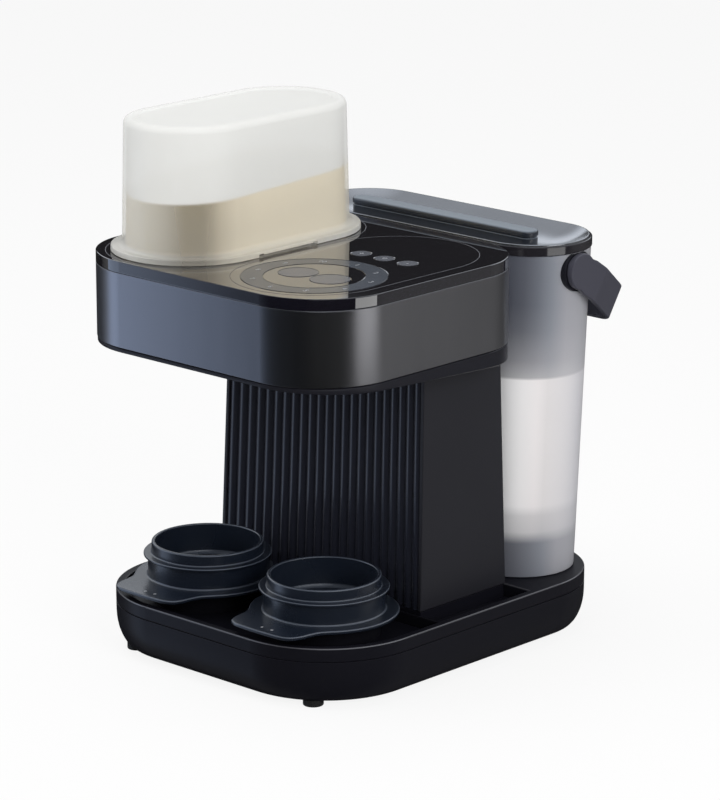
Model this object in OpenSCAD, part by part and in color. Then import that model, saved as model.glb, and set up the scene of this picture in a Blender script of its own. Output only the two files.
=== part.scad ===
// Baby formula maker: a base with two bottle stands, a column that holds the pump and
// the heater, a head with a touch panel, a powder container on the head and a water tank
// behind the column. Millimetres, Z up, Y towards the back. The origin is on the counter
// under the middle of the machine.

/* [Head] */
// Width of the head
head_width = 209; // [200:1:216]
// Front face of the head, from the origin
head_front = -136.3; // [-141:0.1:-133]
// Back face of the head, from the origin
head_back = 44; // [41:0.1:45]
// Radius of the head's two front corners
head_front_radius = 48.5; // [40:0.5:56]
// Radius of the head's two back corners
head_back_radius = 42; // [34:0.5:46]
// Height of the top panel above the counter
head_top = 242; // [238:1:250]
// Height of the gloss edge round the top panel
panel_edge = 6.8; // [6:0.2:8]
// Height of the metallic band round the head
band_height = 44; // [40:1:48]
// Height of the cover under the band, at the very front
under_front_height = 3; // [2:0.5:4]
// Drop of the underside for each millimetre towards the back
under_slope = 0.05; // [0.03:0.01:0.06]
// Wall of the head's shells
head_wall = 3; // [2.4:0.1:3.4]

/* [Base] */
// Width of the base
base_width = 210.4; // [206:0.2:214]
// Front of the base, from the origin
base_front = -132; // [-135:0.1:-129]
// Back of the base, from the origin
base_back = 123.9; // [122:0.1:128]
// Radius of the base's front corners
base_front_radius = 62.4; // [52:0.2:66]
// Radius of the base's back corners
base_back_radius = 55.6; // [48:0.2:62]
// Height of the rim round the base
rim_top = 37.3; // [35:0.1:39]
// Height of the seam between the tub and the deck
seam_height = 29; // [27:0.5:31]
// Width of the rim round the tray recess
rim_width = 5; // [4.5:0.5:7]
// Height of the recess floor
recess_floor = 24.6; // [23:0.2:26]
// Wall of the base's shells
base_wall = 2.6; // [2.2:0.1:3]
// Height of the rubber feet
foot_height = 4; // [3:0.5:6]
// Radius of the rubber feet
foot_radius = 6; // [5:0.5:6.5]

/* [Bottle stands] */
// Distance of each bottle station from the middle
station_x = 47.6; // [46:0.2:49]
// Place of both stations along Y
station_y = -76; // [-78:0.1:-73]
// Outer radius of the upper ring
ring_radius = 33.1; // [31:0.1:34.5]
// Wall of the upper ring
ring_wall = 2.2; // [1.6:0.1:3]
// Height of the top of the ring
ring_top = 64.8; // [62:0.2:70]
// Radius of the thin shoulder
shoulder_radius = 37.9; // [36.5:0.1:39]
// Height of the shoulder's top
shoulder_top = 57.8; // [55:0.2:60]
// Outer radius of the lower drum
drum_radius = 35.4; // [34.6:0.1:36]
// Radius of the foot plate
plate_radius = 43.5; // [41:0.5:44]
// Height of the foot plate's top
plate_top = 44; // [43:0.2:46]
// Thickness of the foot plate
plate_thickness = 2.2; // [1.8:0.1:3]
// Reach of the pull tab in front of the station's middle
tab_reach = 56; // [52:0.5:58]
// Half the width of the pull tab
tab_half = 26; // [20:1:28]

/* [Column] */
// Width of the column under the head
column_width_top = 158; // [150:1:164]
// Width of the column at its foot
column_width_foot = 164; // [158:1:168]
// Front of the column under the head
column_front_top = -25.5; // [-27:0.1:-22]
// Front of the column at its foot
column_front_foot = -31.5; // [-32:0.1:-28]
// Back of the column under the head
column_back_top = 40; // [38:0.1:43]
// Back of the column at its foot
column_back_foot = 44; // [43:0.1:46]
// Wall of the column
column_wall = 2.6; // [2:0.1:3.2]
// Number of upright flutes on the splash panel
flute_count = 23; // [15:1:29]
// Depth of the flutes
flute_depth = 1.5; // [0.8:0.1:2]
// How far the splash panel is hollowed across its width
panel_hollow = 4; // [0:0.5:5]

/* [Powder container] */
// Middle of the container along X
container_x = -49.7; // [-50.5:0.1:-48]
// Middle of the container along Y
container_y = -46.9; // [-48:0.1:-44]
// Length of the container's straight sides
container_straight = 75.8; // [70:0.2:80]
// Outer radius of the container's ends at the bottom
container_radius_foot = 39.8; // [39:0.1:41]
// Outer radius of the container's ends near the top
container_radius_top = 38; // [36:0.1:38.8]
// Height of the container above the panel
container_height = 78.3; // [70:0.1:90]
// Radius of the flange's ends
flange_radius = 46.4; // [45:0.1:47.5]
// Thickness of the flange
flange_thickness = 3.4; // [2.6:0.1:4]
// Wall of the container
container_wall = 2; // [1.5:0.1:2.2]
// Radius of the dosing rotor
rotor_radius = 34.5; // [33.5:0.1:34.8]
// Number of dosing pockets
pocket_count = 6; // [5:1:8]
// Radius of a dosing pocket
pocket_radius = 6; // [4.5:0.25:6.5]
// Distance from the rotor's axis to its pockets and the outlet
dose_reach = 27; // [26.5:0.1:27.5]

/* [Water tank] */
// Front of the tank under its lid
tank_front_top = 49.5; // [48.5:0.1:52]
// Back of the tank under its lid
tank_back_top = 118; // [116:0.1:119]
// Width of the tank at its foot
tank_width_foot = 184; // [178:1:190]
// Front of the tank at its foot
tank_front_foot = 49; // [48.5:0.1:52]
// Back of the tank at its foot
tank_back_foot = 115; // [112:0.1:116]
// Height of the tank's rim
tank_top = 234.6; // [228:0.2:236]
// Wall of the tank
tank_wall = 2.2; // [1.8:0.1:2.8]
// Height of the tank's inner floor
tank_floor = 62; // [61:0.5:66]
// Height of the lid's edge
lid_edge = 6.7; // [5:0.1:8]
// How far the lid's edge stands out past the tank
lid_overhang = 0.6; // [0.2:0.1:0.8]
// Left end of the grip bar
grip_left = -57; // [-64:1:-40]
// Right end of the grip bar
grip_right = 86; // [70:1:88]
// Height of the grip bar above the lid's edge
grip_rise = 7.6; // [5:0.1:9]

/* [Bail handle] */
// Drop from the tank's rim to the bail's pivots
pivot_drop = 10.8; // [9.6:0.1:13.6]
// Slope of the bail below level, as it rests
bail_rest_angle = 33; // [31:0.5:34]
// Reach of the bail from its pivots
bail_reach = 54.8; // [52.5:0.1:58]
// Outer width across the bail's pivots
bail_width = 210; // [205:0.2:214]
// Room from the side of the tank's rim out to the bail's outer face
bail_room = 5; // [4.8:0.1:7]
// Lean of each arm towards the middle
bail_lean = 17; // [8:1:18]
// Thickness of the bail's strap
strap_thickness = 3.9; // [3.5:0.1:4.1]
// Thickness of the bail's bridge behind the tank
bridge_thickness = 6.6; // [4:0.1:6.8]
// Width of the bail's strap
strap_width = 23.2; // [20:0.2:24]
// Radius of the bail's pivot pins
pivot_pin_radius = 5; // [4:0.25:6]

/* [Fits] */
// Clearance between faces that lift or slide apart
face_gap = 0.3; // [0.2:0.05:0.4]
// Radial clearance of a pin or shaft that turns
running_gap = 0.06; // [0.03:0.01:0.09]
// Radius of a screw's shank
screw_radius = 1.5; // [1.25:0.25:1.75]

/* [Hidden] */

$fn = 64;
join = 0.01;                    // overlap that makes one solid of two touching ones
far = 400;                      // longer than the machine, for cuts that run right through

// colours
metallic = [0.20, 0.22, 0.26];
satin_grey = [0.15, 0.16, 0.18];
gloss_black = [0.03, 0.03, 0.04];
dark_plastic = [0.07, 0.08, 0.10];
stand_grey = [0.13, 0.14, 0.17];
print_grey = [0.33, 0.34, 0.37];
frosted = [0.80, 0.83, 0.86, 0.5];
milky = [0.90, 0.89, 0.83, 0.6];
inner_white = [0.86, 0.86, 0.84];
rubber = [0.09, 0.09, 0.09];
steel = [0.66, 0.67, 0.69];
board_green = [0.10, 0.32, 0.20];

// ---------- shared shapes ----------

module slab(low, high) translate([0, 0, low]) linear_extrude(high - low) children();

// rectangle about X = 0 with one radius in front and one at the back
module rounded_plan(half_width, front, back, front_r, back_r) {
    for (side = [-1, 1]) {
        translate([side * (half_width - front_r), front + front_r]) circle(r = front_r);
        translate([side * (half_width - back_r), back - back_r]) circle(r = back_r);
    }
    polygon([
        [front_r - half_width, front], [half_width - front_r, front],
        [half_width, front + front_r], [half_width, back - back_r],
        [half_width - back_r, back], [back_r - half_width, back],
        [-half_width, back - back_r], [-half_width, front + front_r]
    ]);
}

module head_plan(inset = 0) {
    rounded_plan(head_width / 2 - inset, head_front + inset, head_back - inset,
                 head_front_radius - inset, head_back_radius - inset);
}

module base_plan(inset = 0) {
    rounded_plan(base_width / 2 - inset, base_front + inset, base_back - inset,
                 base_front_radius - inset, base_back_radius - inset);
}

// the half of the plan in front of a line across the machine
module in_front_of(y) intersection() {
    children();
    translate([-far, y - 2 * far]) square(2 * far);
}

// a pipe along a list of points, with a round elbow at each bend
module pipe(points, radius) {
    for (i = [0 : len(points) - 2]) {
        run = points[i + 1] - points[i];
        length = norm(run);
        translate(points[i]) rotate([0, acos(run.z / length), atan2(run.y, run.x)])
            cylinder(r = radius, h = length);
    }
    for (i = [1 : 1 : len(points) - 2]) translate(points[i]) sphere(r = radius + 0.4);
}

function between(low, high, share) = low + (high - low) * share;

// ---------- base ----------

tub_floor = foot_height + base_wall;
deck_under = recess_floor - base_wall;
edge_inset = 6;                 // how far the tub draws in towards its foot
edge_power = 3.2;               // how late it does so, on the way down from the seam
edge_steps = 8;
tub_ledge = 14;                 // height above the foot where the tub's inside widens
fit_gap = 0.4;                  // between shells that nest
lip_inset = base_wall + 2 * fit_gap;
foot_spots = concat(
    [for (side = [-1, 1]) [side * (base_width / 2 - 33), base_front + 21]],
    [for (side = [-1, 1]) [side * (base_width / 2 - 30), base_back - 24]]);
screw_spots = [for (side = [-1, 1], y = [base_front + 42, base_back - 34])
    [side * (base_width / 2 - 26), y]];
boss_radius = 4.5;
screw_room = 0.2;               // round a screw's head and shank
snug = 0.05;                    // round a screw's thread and the gland
screw_head_radius = 2 * screw_radius;
screw_head_height = 1.6;
screw_length = 13;
gland_x = -38;
gland_z = 16;
gland_radius = 6;
gland_inside = 10;              // length of the gland inside the wall
lead_radius = 3.2;              // of the mains lead that the gland takes

module base_tub() color(gloss_black) difference() {
    hull() for (i = [0 : edge_steps]) let (
        share = i / edge_steps,
        z = between(seam_height - join, foot_height, share))
        slab(z, z + join) base_plan(edge_inset * pow(share, edge_power));
    slab(tub_floor, seam_height + 1) base_plan(edge_inset + base_wall);
    slab(foot_height + tub_ledge, seam_height + 1) base_plan(base_wall + fit_gap);
    for (spot = screw_spots) translate([spot.x, spot.y, foot_height - 1]) {
        cylinder(r = screw_radius + screw_room, h = base_wall + 2);
        cylinder(r = screw_head_radius + screw_room, h = 1 + screw_head_height);
    }
    translate([gland_x, base_back - gland_inside, gland_z]) rotate([-90, 0, 0])
        cylinder(r = gland_radius + snug, h = 2 * gland_inside);
}

plateau_front = column_back_foot + face_gap;

module base_deck() color(gloss_black) difference() {
    union() {
        slab(seam_height, rim_top) base_plan();
        slab(deck_under, seam_height + join) base_plan(lip_inset);
        for (spot = screw_spots) translate([spot.x, spot.y, tub_floor])
            cylinder(r = boss_radius, h = deck_under - tub_floor + join);
    }
    slab(recess_floor, rim_top + 1) in_front_of(plateau_front) base_plan(rim_width);
    // the plateau under the tank is hollow
    slab(deck_under - 1, rim_top - base_wall) difference() {
        base_plan(lip_inset + base_wall);
        in_front_of(plateau_front + base_wall) base_plan();
        for (spot = screw_spots) translate(spot) circle(r = boss_radius);
    }
    // hole in the floor inside the column, for the pump and the wires
    translate([-24, column_front_foot + 13, deck_under - 1]) cube([48, 42, base_wall + 2]);
    translate([0, dock_y, rim_top - base_wall - 1])
        cylinder(r = dock_radius + screw_room, h = base_wall + 2);
    for (spot = screw_spots) translate([spot.x, spot.y, tub_floor - 1])
        cylinder(r = screw_radius + snug, h = screw_length);
}

module rubber_feet() color(rubber) for (spot = foot_spots) translate([spot.x, spot.y, 0])
    cylinder(r = foot_radius, h = foot_height);

module base_screws() color(steel) for (spot = screw_spots)
    translate([spot.x, spot.y, foot_height]) {
        cylinder(r = screw_head_radius, h = screw_head_height);
        cylinder(r = screw_radius, h = screw_length);
    }

module mains_gland() color(rubber) translate([gland_x, base_back, gland_z])
    rotate([-90, 0, 0]) difference() {
        union() {
            translate([0, 0, -gland_inside]) cylinder(r = gland_radius, h = gland_inside + 1);
            translate([0, 0, 0.1]) cylinder(r = gland_radius + 2, h = 2);
            translate([0, 0, 2]) cylinder(r1 = gland_radius, r2 = lead_radius + 1.2, h = 7);
        }
        translate([0, 0, -gland_inside - 1]) cylinder(r = lead_radius, h = gland_inside + 12);
    }

// ---------- drip tray and bottle stands ----------

tray_gap = 0.5;
tray_sheet = 1.6;
tray_floor = recess_floor + face_gap;
tray_rim = rim_top - 1.5;
tray_back = column_front_foot - tray_gap;
plate_under = plate_top - plate_thickness;
pedestal_top = plate_under - face_gap;
pedestal_radius = plate_radius - 11;
shoulder_sheet = 1.6;
cup_floor = plate_top + 4;

module drip_tray() color(dark_plastic) difference() {
    union() {
        difference() {
            slab(tray_floor, tray_rim) in_front_of(tray_back) base_plan(rim_width + tray_gap);
            slab(tray_floor + tray_sheet, rim_top) in_front_of(tray_back - tray_sheet)
                base_plan(rim_width + tray_gap + tray_sheet);
        }
        for (side = [-1, 1]) translate([side * station_x, station_y, tray_floor + join])
            cylinder(r = pedestal_radius, h = pedestal_top - tray_floor - join);
    }
    for (side = [-1, 1]) translate([side * station_x, station_y, tray_floor - 1])
        cylinder(r = pedestal_radius - 2, h = pedestal_top - tray_floor - 1);
}

// foot plate with its pull tab
module stand_plan() {
    circle(r = plate_radius);
    polygon([
        [-tab_half - 3, -sqrt(pow(plate_radius, 2) - pow(tab_half + 3, 2))],
        [-tab_half, 9 - tab_reach], [-tab_half + 1.5, 5 - tab_reach],
        [-tab_half + 7, 1.5 - tab_reach], [-8, -tab_reach], [8, -tab_reach],
        [tab_half - 7, 1.5 - tab_reach], [tab_half - 1.5, 5 - tab_reach],
        [tab_half, 9 - tab_reach],
        [tab_half + 3, -sqrt(pow(plate_radius, 2) - pow(tab_half + 3, 2))]
    ]);
}

module bottle_stand() color(stand_grey) difference() {
    union() {
        slab(plate_under, plate_top) stand_plan();
        translate([0, 0, plate_top - join])
            cylinder(r = drum_radius, h = shoulder_top - shoulder_sheet - plate_top + 2 * join);
        translate([0, 0, shoulder_top - shoulder_sheet])
            cylinder(r = shoulder_radius, h = shoulder_sheet);
        translate([0, 0, plate_top]) cylinder(r = ring_radius, h = ring_top - plate_top);
    }
    translate([0, 0, cup_floor]) cylinder(r = ring_radius - ring_wall, h = ring_top);
}

module bottle_stand_left() translate([-station_x, station_y, 0]) bottle_stand();

module bottle_stand_right() translate([station_x, station_y, 0]) bottle_stand();

// ---------- column ----------

band_top = head_top - panel_edge;
band_floor = band_top - band_height;
under_front = band_floor - under_front_height;
slope_angle = atan(under_slope);
function under_height(y) = under_front - under_slope * (y - head_front);

// everything above or below the head's sloping underside
module above_underside(lift = 0) translate([-far / 2, head_front, under_front + lift])
    rotate([-slope_angle, 0, 0]) translate([0, -30, 0]) cube([far, far, far / 2]);

module below_underside() translate([-far / 2, head_front, under_front])
    rotate([-slope_angle, 0, 0]) translate([0, -30, -far]) cube([far, far, far]);

column_low = recess_floor;
column_high = under_front;
cover_low = rim_top + fit_gap;
foot_inset = 0.8;               // step of the black foot behind the cover's faces
function share_at(z) = (z - column_low) / (column_high - column_low);
function column_half(z) = between(column_width_foot, column_width_top, share_at(z)) / 2;
function column_front(z) = between(column_front_foot, column_front_top, share_at(z));
function column_back(z) = between(column_back_foot, column_back_top, share_at(z));

// a block with the column's slanting faces, each moved in by an inset
module column_block(low, high, side, front, back) intersection() {
    translate([0, far / 2, 0]) rotate([90, 0, 0]) linear_extrude(far) polygon([
        [side - column_half(low), low], [column_half(low) - side, low],
        [column_half(high) - side, high], [side - column_half(high), high]
    ]);
    translate([-far / 2, 0, 0]) rotate([90, 0, 90]) linear_extrude(far) polygon([
        [column_front(low) + front, low], [column_back(low) - back, low],
        [column_back(high) - back, high], [column_front(high) + front, high]
    ]);
}

module column_foot() color(gloss_black) {
    difference() {
        column_block(column_low, rim_top, foot_inset, foot_inset, foot_inset);
        column_block(column_low - 1, rim_top + 1, foot_inset + column_wall,
                     foot_inset + column_wall, foot_inset + column_wall);
    }
    // lip that the cover and the panel slip over
    difference() {
        column_block(rim_top - 3, rim_top + 7, column_wall + snug, 9.5, column_wall + snug);
        column_block(rim_top - 4, rim_top + 8, column_wall + 2, -20, column_wall + 2);
    }
}

module column_cover() color(satin_grey) difference() {
    intersection() {
        column_block(cover_low, column_high, 0, 0, 0);
        below_underside();
    }
    column_block(cover_low - 1, column_high + 1, column_wall, -20, column_wall);
}

splash_sheet = 2.5;             // thickness of the splash panel behind its flutes
splash_side_gap = 0.15;
panel_lean = atan((column_front_top - column_front_foot) / (column_high - column_low));
panel_half = column_width_foot / 2;
flute_pitch = 2 * panel_half / flute_count;
function hollow_at(x) = panel_hollow * (1 - pow(x / panel_half, 2));

// the panel's front edge, six points to a flute, each flute a half wave
function flute_edge() = [for (i = [0 : flute_count - 1], k = [0 : 5])
    let (x = flute_pitch * (i + k / 6) - panel_half)
        [x, hollow_at(x) + flute_depth * (1 - sin(180 * k / 6))]];

module splash_panel() color(gloss_black) intersection() {
    column_block(cover_low, column_high, column_wall + splash_side_gap, -20, 0);
    below_underside();
    translate([0, column_front_foot, column_low]) rotate([-panel_lean, 0, 0])
        translate([0, 0, -10]) linear_extrude(far / 2) polygon(concat(flute_edge(), [
            [panel_half, flute_depth], [panel_half, panel_hollow + flute_depth + splash_sheet],
            [-panel_half, panel_hollow + flute_depth + splash_sheet]
        ]));
}

// ---------- inside the column ----------

pump_x = 0;
pump_y = 6;
pump_radius = 15;
pump_height = 46;
heater_x = station_x;
heater_y = pump_y;
heater_radius = 17;
heater_height = 78;
port_radius = 4;
port_length = 5;
port_height = 10;               // of the heater's inlet above its foot
hose_radius = 3.5;
suction_height = 14;

board_sheet = 1.6;
power_board_width = 40;
power_board_height = 62;
power_board_x = 13 - column_width_top / 2;
power_board_y = 6;

module power_board() color(board_green) translate([power_board_x, power_board_y, recess_floor]) {
    cube([power_board_width, board_sheet, power_board_height]);
    translate([4, 1.5, 8]) cube([15, 12, 20]);
    translate([22, 1.5, 6]) cube([14, 14, 14]);
    translate([6, 1.5, 36]) cube([28, 9, 10]);
}

module water_pump() color(dark_plastic) translate([pump_x, pump_y, tub_floor]) {
    cylinder(r = pump_radius + 3, h = 3);
    cylinder(r = pump_radius, h = pump_height);
    translate([0, 0, pump_height - join]) cylinder(r = port_radius, h = port_length + join);
    translate([0, 0, suction_height - tub_floor]) rotate([-90, 0, 0])
        cylinder(r = port_radius, h = pump_radius + port_length);
}

module water_heater() color(steel) translate([heater_x, heater_y, recess_floor]) {
    cylinder(r = heater_radius, h = heater_height);
    translate([0, 0, heater_height - join]) cylinder(r = port_radius, h = port_length + join);
    translate([-heater_radius - port_length, 0, port_height]) rotate([0, 90, 0])
        cylinder(r = port_radius, h = port_length + 4);
}

module suction_hose() color(inner_white) pipe([
    [0, dock_y, dock_low],
    [0, dock_y, suction_height],
    [pump_x, pump_y + pump_radius + port_length, suction_height]
], hose_radius);

pump_outlet = tub_floor + pump_height + port_length;
heater_inlet = heater_x - heater_radius - port_length;

module transfer_hose() color(inner_white) pipe([
    [pump_x, pump_y, pump_outlet],
    [pump_x, pump_y, pump_outlet + 10],
    [heater_inlet - 5, heater_y, pump_outlet + 10],
    [heater_inlet - 5, heater_y, recess_floor + port_height],
    [heater_inlet, heater_y, recess_floor + port_height]
], hose_radius);

heater_outlet = recess_floor + heater_height + port_length;
hose_level = band_floor + 16;

module delivery_hose() color(inner_white) pipe([
    [heater_x, heater_y, heater_outlet],
    [heater_x, heater_y, hose_level],
    [station_x, station_y, hose_level],
    [station_x, station_y, spout_top]
], hose_radius);

// ---------- head ----------

panel_sheet = 3;                // thickness of the top panel
panel_under = head_top - panel_sheet;
under_sheet = 2.4;
head_seam = 0.3;                // visible line between the band and the cover under it
head_screw_spots = [for (side = [-1, 1], y = [head_front + 60, head_back - 50])
    [side * (head_width / 2 - head_wall - 4.5), y]];
head_boss_radius = 5;
rotor_x = -station_x;
rotor_y = station_y + dose_reach;
chute_radius = 10;
chute_bore = 8;
drive_hole = 8.5;
print_depth = 0.3;
print_proud = 0.1;
dial_x = 49;
dial_y = station_y - 9;
dial_outer = 41.5;
dial_inner = 29;
pad_radius = 11.5;
pad_offset = 12.3;
key_radius = 5.9;
key_y = station_y + 49;
key_pitch = 18.1;

module undercover_hole(x, y, radius) translate([x, y, under_height(head_back)])
    cylinder(r = radius, h = 30);

module head_undercover() color(dark_plastic) difference() {
    union() {
        difference() {
            intersection() {
                slab(under_height(head_back) - 2, band_floor - head_seam) head_plan(head_seam);
                above_underside();
            }
            intersection() {
                slab(under_height(head_back) - 3, band_floor + 1) head_plan(head_wall);
                above_underside(under_sheet);
            }
        }
        for (spot = head_screw_spots) translate([spot.x, spot.y, under_height(spot.y) + 1])
            cylinder(r = head_boss_radius, h = band_floor - under_height(spot.y) - 1);
    }
    undercover_hole(-station_x, station_y, chute_radius + screw_room);
    undercover_hole(station_x, station_y, spout_radius + screw_room);
    // way through from the column
    translate([-60, column_front_top + 14, under_height(head_back) - 5]) cube([126, 42, 30]);
    for (spot = head_screw_spots) translate([spot.x, spot.y, under_height(head_back) - 5]) {
        cylinder(r = screw_radius + screw_room, h = 30);
        cylinder(r = screw_head_radius + screw_room,
                 h = under_height(spot.y) + 2.2 - under_height(head_back) + 5);
    }
}

module head_band() color(metallic) difference() {
    union() {
        difference() {
            slab(band_floor, band_top) head_plan();
            slab(band_floor - 1, band_top + 1) head_plan(head_wall);
        }
        intersection() {
            slab(band_floor, band_floor + 22) head_plan(1);
            for (spot = head_screw_spots) translate([spot.x, spot.y, band_floor])
                cylinder(r = head_boss_radius, h = 22);
        }
    }
    for (spot = head_screw_spots) translate([spot.x, spot.y, band_floor - 1])
        cylinder(r = screw_radius + snug, h = 19);
}

module head_screws() color(steel) for (spot = head_screw_spots)
    translate([spot.x, spot.y, under_height(spot.y) + 2.2]) {
        translate([0, 0, -screw_head_height]) cylinder(r = screw_head_radius, h = screw_head_height);
        translate([0, 0, -join]) cylinder(r = screw_radius, h = 20);
    }

module dial_plan() translate([dial_x, dial_y]) difference() {
    circle(r = dial_outer);
    circle(r = dial_inner);
}

module pads_plan() {
    for (side = [-1, 1]) translate([dial_x + side * pad_offset, dial_y]) circle(r = pad_radius);
    for (i = [-1, 0, 1]) translate([dial_x + i * key_pitch, key_y]) circle(r = key_radius);
}

module top_panel() color(gloss_black) difference() {
    slab(band_top, head_top) head_plan();
    slab(band_top - 1, panel_under) head_plan(head_wall + 2);
    slab(head_top - print_depth, head_top + 1) dial_plan();
    slab(head_top - print_depth, head_top + 1) pads_plan();
    translate([-station_x, station_y, panel_under - 1])
        cylinder(r = chute_radius + screw_room, h = panel_sheet + 2);
    translate([rotor_x, rotor_y, panel_under - 1]) cylinder(r = drive_hole, h = panel_sheet + 2);
}

module dial_ring() color(print_grey) slab(head_top - print_depth, head_top + print_proud) dial_plan();

module touch_pads() color(print_grey)
    slab(head_top - print_depth, head_top + print_proud) pads_plan();

touch_board_width = 78;
touch_board_length = 118;

module touch_board() color(board_green) slab(panel_under - board_sheet, panel_under)
    translate([dial_x + 37 - touch_board_width, head_front + 28])
        square([touch_board_width, touch_board_length]);

collar_low = under_height(station_y - 13) + under_sheet;
spout_radius = 6;
spout_bore = 2.4;
spout_low = under_height(station_y) - 7;
spout_top = band_floor + 8;

module water_spout() color(dark_plastic) translate([station_x, station_y, 0]) difference() {
    union() {
        translate([0, 0, spout_low]) cylinder(r = spout_radius, h = spout_top - spout_low);
        translate([0, 0, collar_low]) cylinder(r = 10, h = 2);
    }
    translate([0, 0, spout_low - 1]) cylinder(r = spout_bore, h = spout_top - spout_low - 1);
}

module powder_chute() color(inner_white) translate([-station_x, station_y, 0]) difference() {
    union() {
        translate([0, 0, under_height(station_y) - 9])
            cylinder(r = chute_radius, h = head_top - under_height(station_y) + 9);
        translate([0, 0, collar_low]) cylinder(r = chute_radius + 3, h = 2);
    }
    translate([0, 0, under_height(station_y) - 10]) cylinder(r = chute_bore, h = 80);
}

gearbox_radius = 15.5;
gearbox_height = 17;
motor_radius = 14;
motor_height = 20;
drive_shaft_radius = 3;
shaft_depth = 9;                // of the dog's shaft in the gearbox
dog_radius = 6;                 // of the six-sided dog, over its corners
socket_gap = 0.35;
plate_low = head_top + face_gap;
plate_high = plate_low + 2.7;
rotor_low = plate_high + face_gap;
dog_top = rotor_low + 5.6;

module gear_motor() color(dark_plastic) translate([rotor_x, rotor_y, 0]) difference() {
    union() {
        translate([0, 0, panel_under - gearbox_height]) cylinder(r = gearbox_radius, h = gearbox_height);
        translate([0, 0, panel_under - gearbox_height - motor_height])
            cylinder(r = motor_radius, h = motor_height + join);
    }
    translate([0, 0, panel_under - shaft_depth - 0.5])
        cylinder(r = drive_shaft_radius + running_gap, h = shaft_depth + 1);
}

module drive_dog() color(steel) translate([rotor_x, rotor_y, 0]) {
    translate([0, 0, panel_under - shaft_depth])
        cylinder(r = drive_shaft_radius, h = shaft_depth + face_gap + 1);
    translate([0, 0, panel_under + face_gap])
        cylinder(r = dog_radius, h = dog_top - panel_under - face_gap, $fn = 6);
}

// ---------- powder container ----------

container_low = head_top + face_gap;
container_top = head_top + container_height;
seal_height = 1.2;
seal_gap = 0.2;                 // between the container's wall and its seal
hub_radius = 10;
spigot_radius = 8.2;

// stadium whose long side runs along Y
module long_plan(radius) translate([container_x, container_y]) {
    for (end = [-1, 1]) translate([0, end * container_straight / 2]) circle(r = radius);
    square([2 * radius, container_straight], center = true);
}

module container_form(low, top, inset) hull() {
    $fn = 48;
    slab(low, low + join) long_plan(container_radius_foot - inset);
    slab(top - 8, top - 8 + join) long_plan(container_radius_top - inset);
    slab(top - 3, top - 3 + join) long_plan(container_radius_top - inset - 0.7);
    slab(top - 0.8, top - 0.8 + join) long_plan(container_radius_top - inset - 2.2);
    slab(top - join, top) long_plan(container_radius_top - inset - 4.6);
}

latch_depth = 5;
latch_length = 48.2;
latch_y = container_y - 4.6;

module powder_container() color(milky) difference() {
    union() {
        container_form(container_low, container_top, 0);
        slab(container_low, container_low + flange_thickness) long_plan(flange_radius);
    }
    container_form(container_low - 1, container_top - container_wall, container_wall);
    // slot in the flange where the machine's latch shows
    translate([container_x + flange_radius - latch_depth, latch_y - latch_length / 2, head_top])
        cube([latch_depth + 1, latch_length, face_gap + 1.4]);
}

module container_base() color(inner_white) difference() {
    union() {
        slab(plate_low, plate_low + seal_height + join)
            long_plan(container_radius_foot - container_wall - 1.5);
        slab(plate_low + seal_height, plate_high)
            long_plan(container_radius_foot - container_wall - face_gap);
    }
    translate([-station_x, station_y, head_top]) cylinder(r = chute_bore - 1, h = 10);
    translate([rotor_x, rotor_y, head_top]) cylinder(r = spigot_radius + running_gap, h = 10);
}

module container_seal() color(rubber) slab(plate_low, plate_low + seal_height) difference() {
    long_plan(container_radius_foot - container_wall - seal_gap);
    long_plan(container_radius_foot - container_wall - 1.4);
}

module dosing_rotor() color(inner_white) translate([rotor_x, rotor_y, 0]) difference() {
    union() {
        translate([0, 0, rotor_low]) cylinder(r = rotor_radius, h = 5);
        translate([0, 0, rotor_low]) cylinder(r = hub_radius, h = 8.5);
        translate([0, 0, plate_low + 0.4]) cylinder(r = spigot_radius, h = rotor_low - plate_low);
    }
    for (i = [0 : pocket_count - 1]) rotate(-90 + 360 * i / pocket_count)
        translate([dose_reach, 0, rotor_low - 1]) cylinder(r = pocket_radius, h = 10);
    translate([0, 0, head_top]) cylinder(r = dog_radius + socket_gap, h = dog_top + 0.4 - head_top, $fn = 6);
}

// ---------- water tank ----------

tank_low = rim_top + face_gap;
floor_sheet = 2.4;
function tank_share(z) = (z - tank_low) / (tank_top - tank_low);
tank_width_top = bail_width - 2 * bail_room;
function tank_half(z) = between(tank_width_foot, tank_width_top, tank_share(z)) / 2;
function tank_front(z) = between(tank_front_foot, tank_front_top, tank_share(z));
function tank_back(z) = between(tank_back_foot, tank_back_top, tank_share(z));

// stadium whose long side runs along X, at one height of the tank
module tank_plan(z, inset) {
    radius = (tank_back(z) - tank_front(z)) / 2;
    middle = tank_half(z) - radius;
    translate([0, (tank_front(z) + tank_back(z)) / 2]) {
        for (side = [-1, 1]) translate([side * middle, 0]) circle(r = radius - inset);
        square([2 * middle, 2 * (radius - inset)], center = true);
    }
}

module tank_block(low, high, inset) hull() {
    $fn = 48;
    slab(low, low + join) tank_plan(low, inset);
    slab(high - join, high) tank_plan(high, inset);
}

dock_y = (tank_front_foot + tank_back_foot) / 2;
neck_radius = 11;
neck_low = rim_top + 6.7;
seat_height = neck_low + 6;
valve_lift = 3;
valve_bore = 8;
valve_hole = 5;

module water_tank() color(frosted) difference() {
    union() {
        difference() {
            tank_block(tank_low, tank_top, 0);
            tank_block(tank_low - 5, tank_floor - floor_sheet, tank_wall);
        }
        translate([0, dock_y, neck_low])
            cylinder(r = neck_radius, h = tank_floor - floor_sheet - neck_low + join);
    }
    tank_block(tank_floor, tank_top + 1, tank_wall);
    translate([0, dock_y, seat_height]) cylinder(r = valve_bore, h = tank_floor - seat_height + 1);
    translate([0, dock_y, neck_low - 1]) cylinder(r = valve_hole, h = 20);
}

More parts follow.
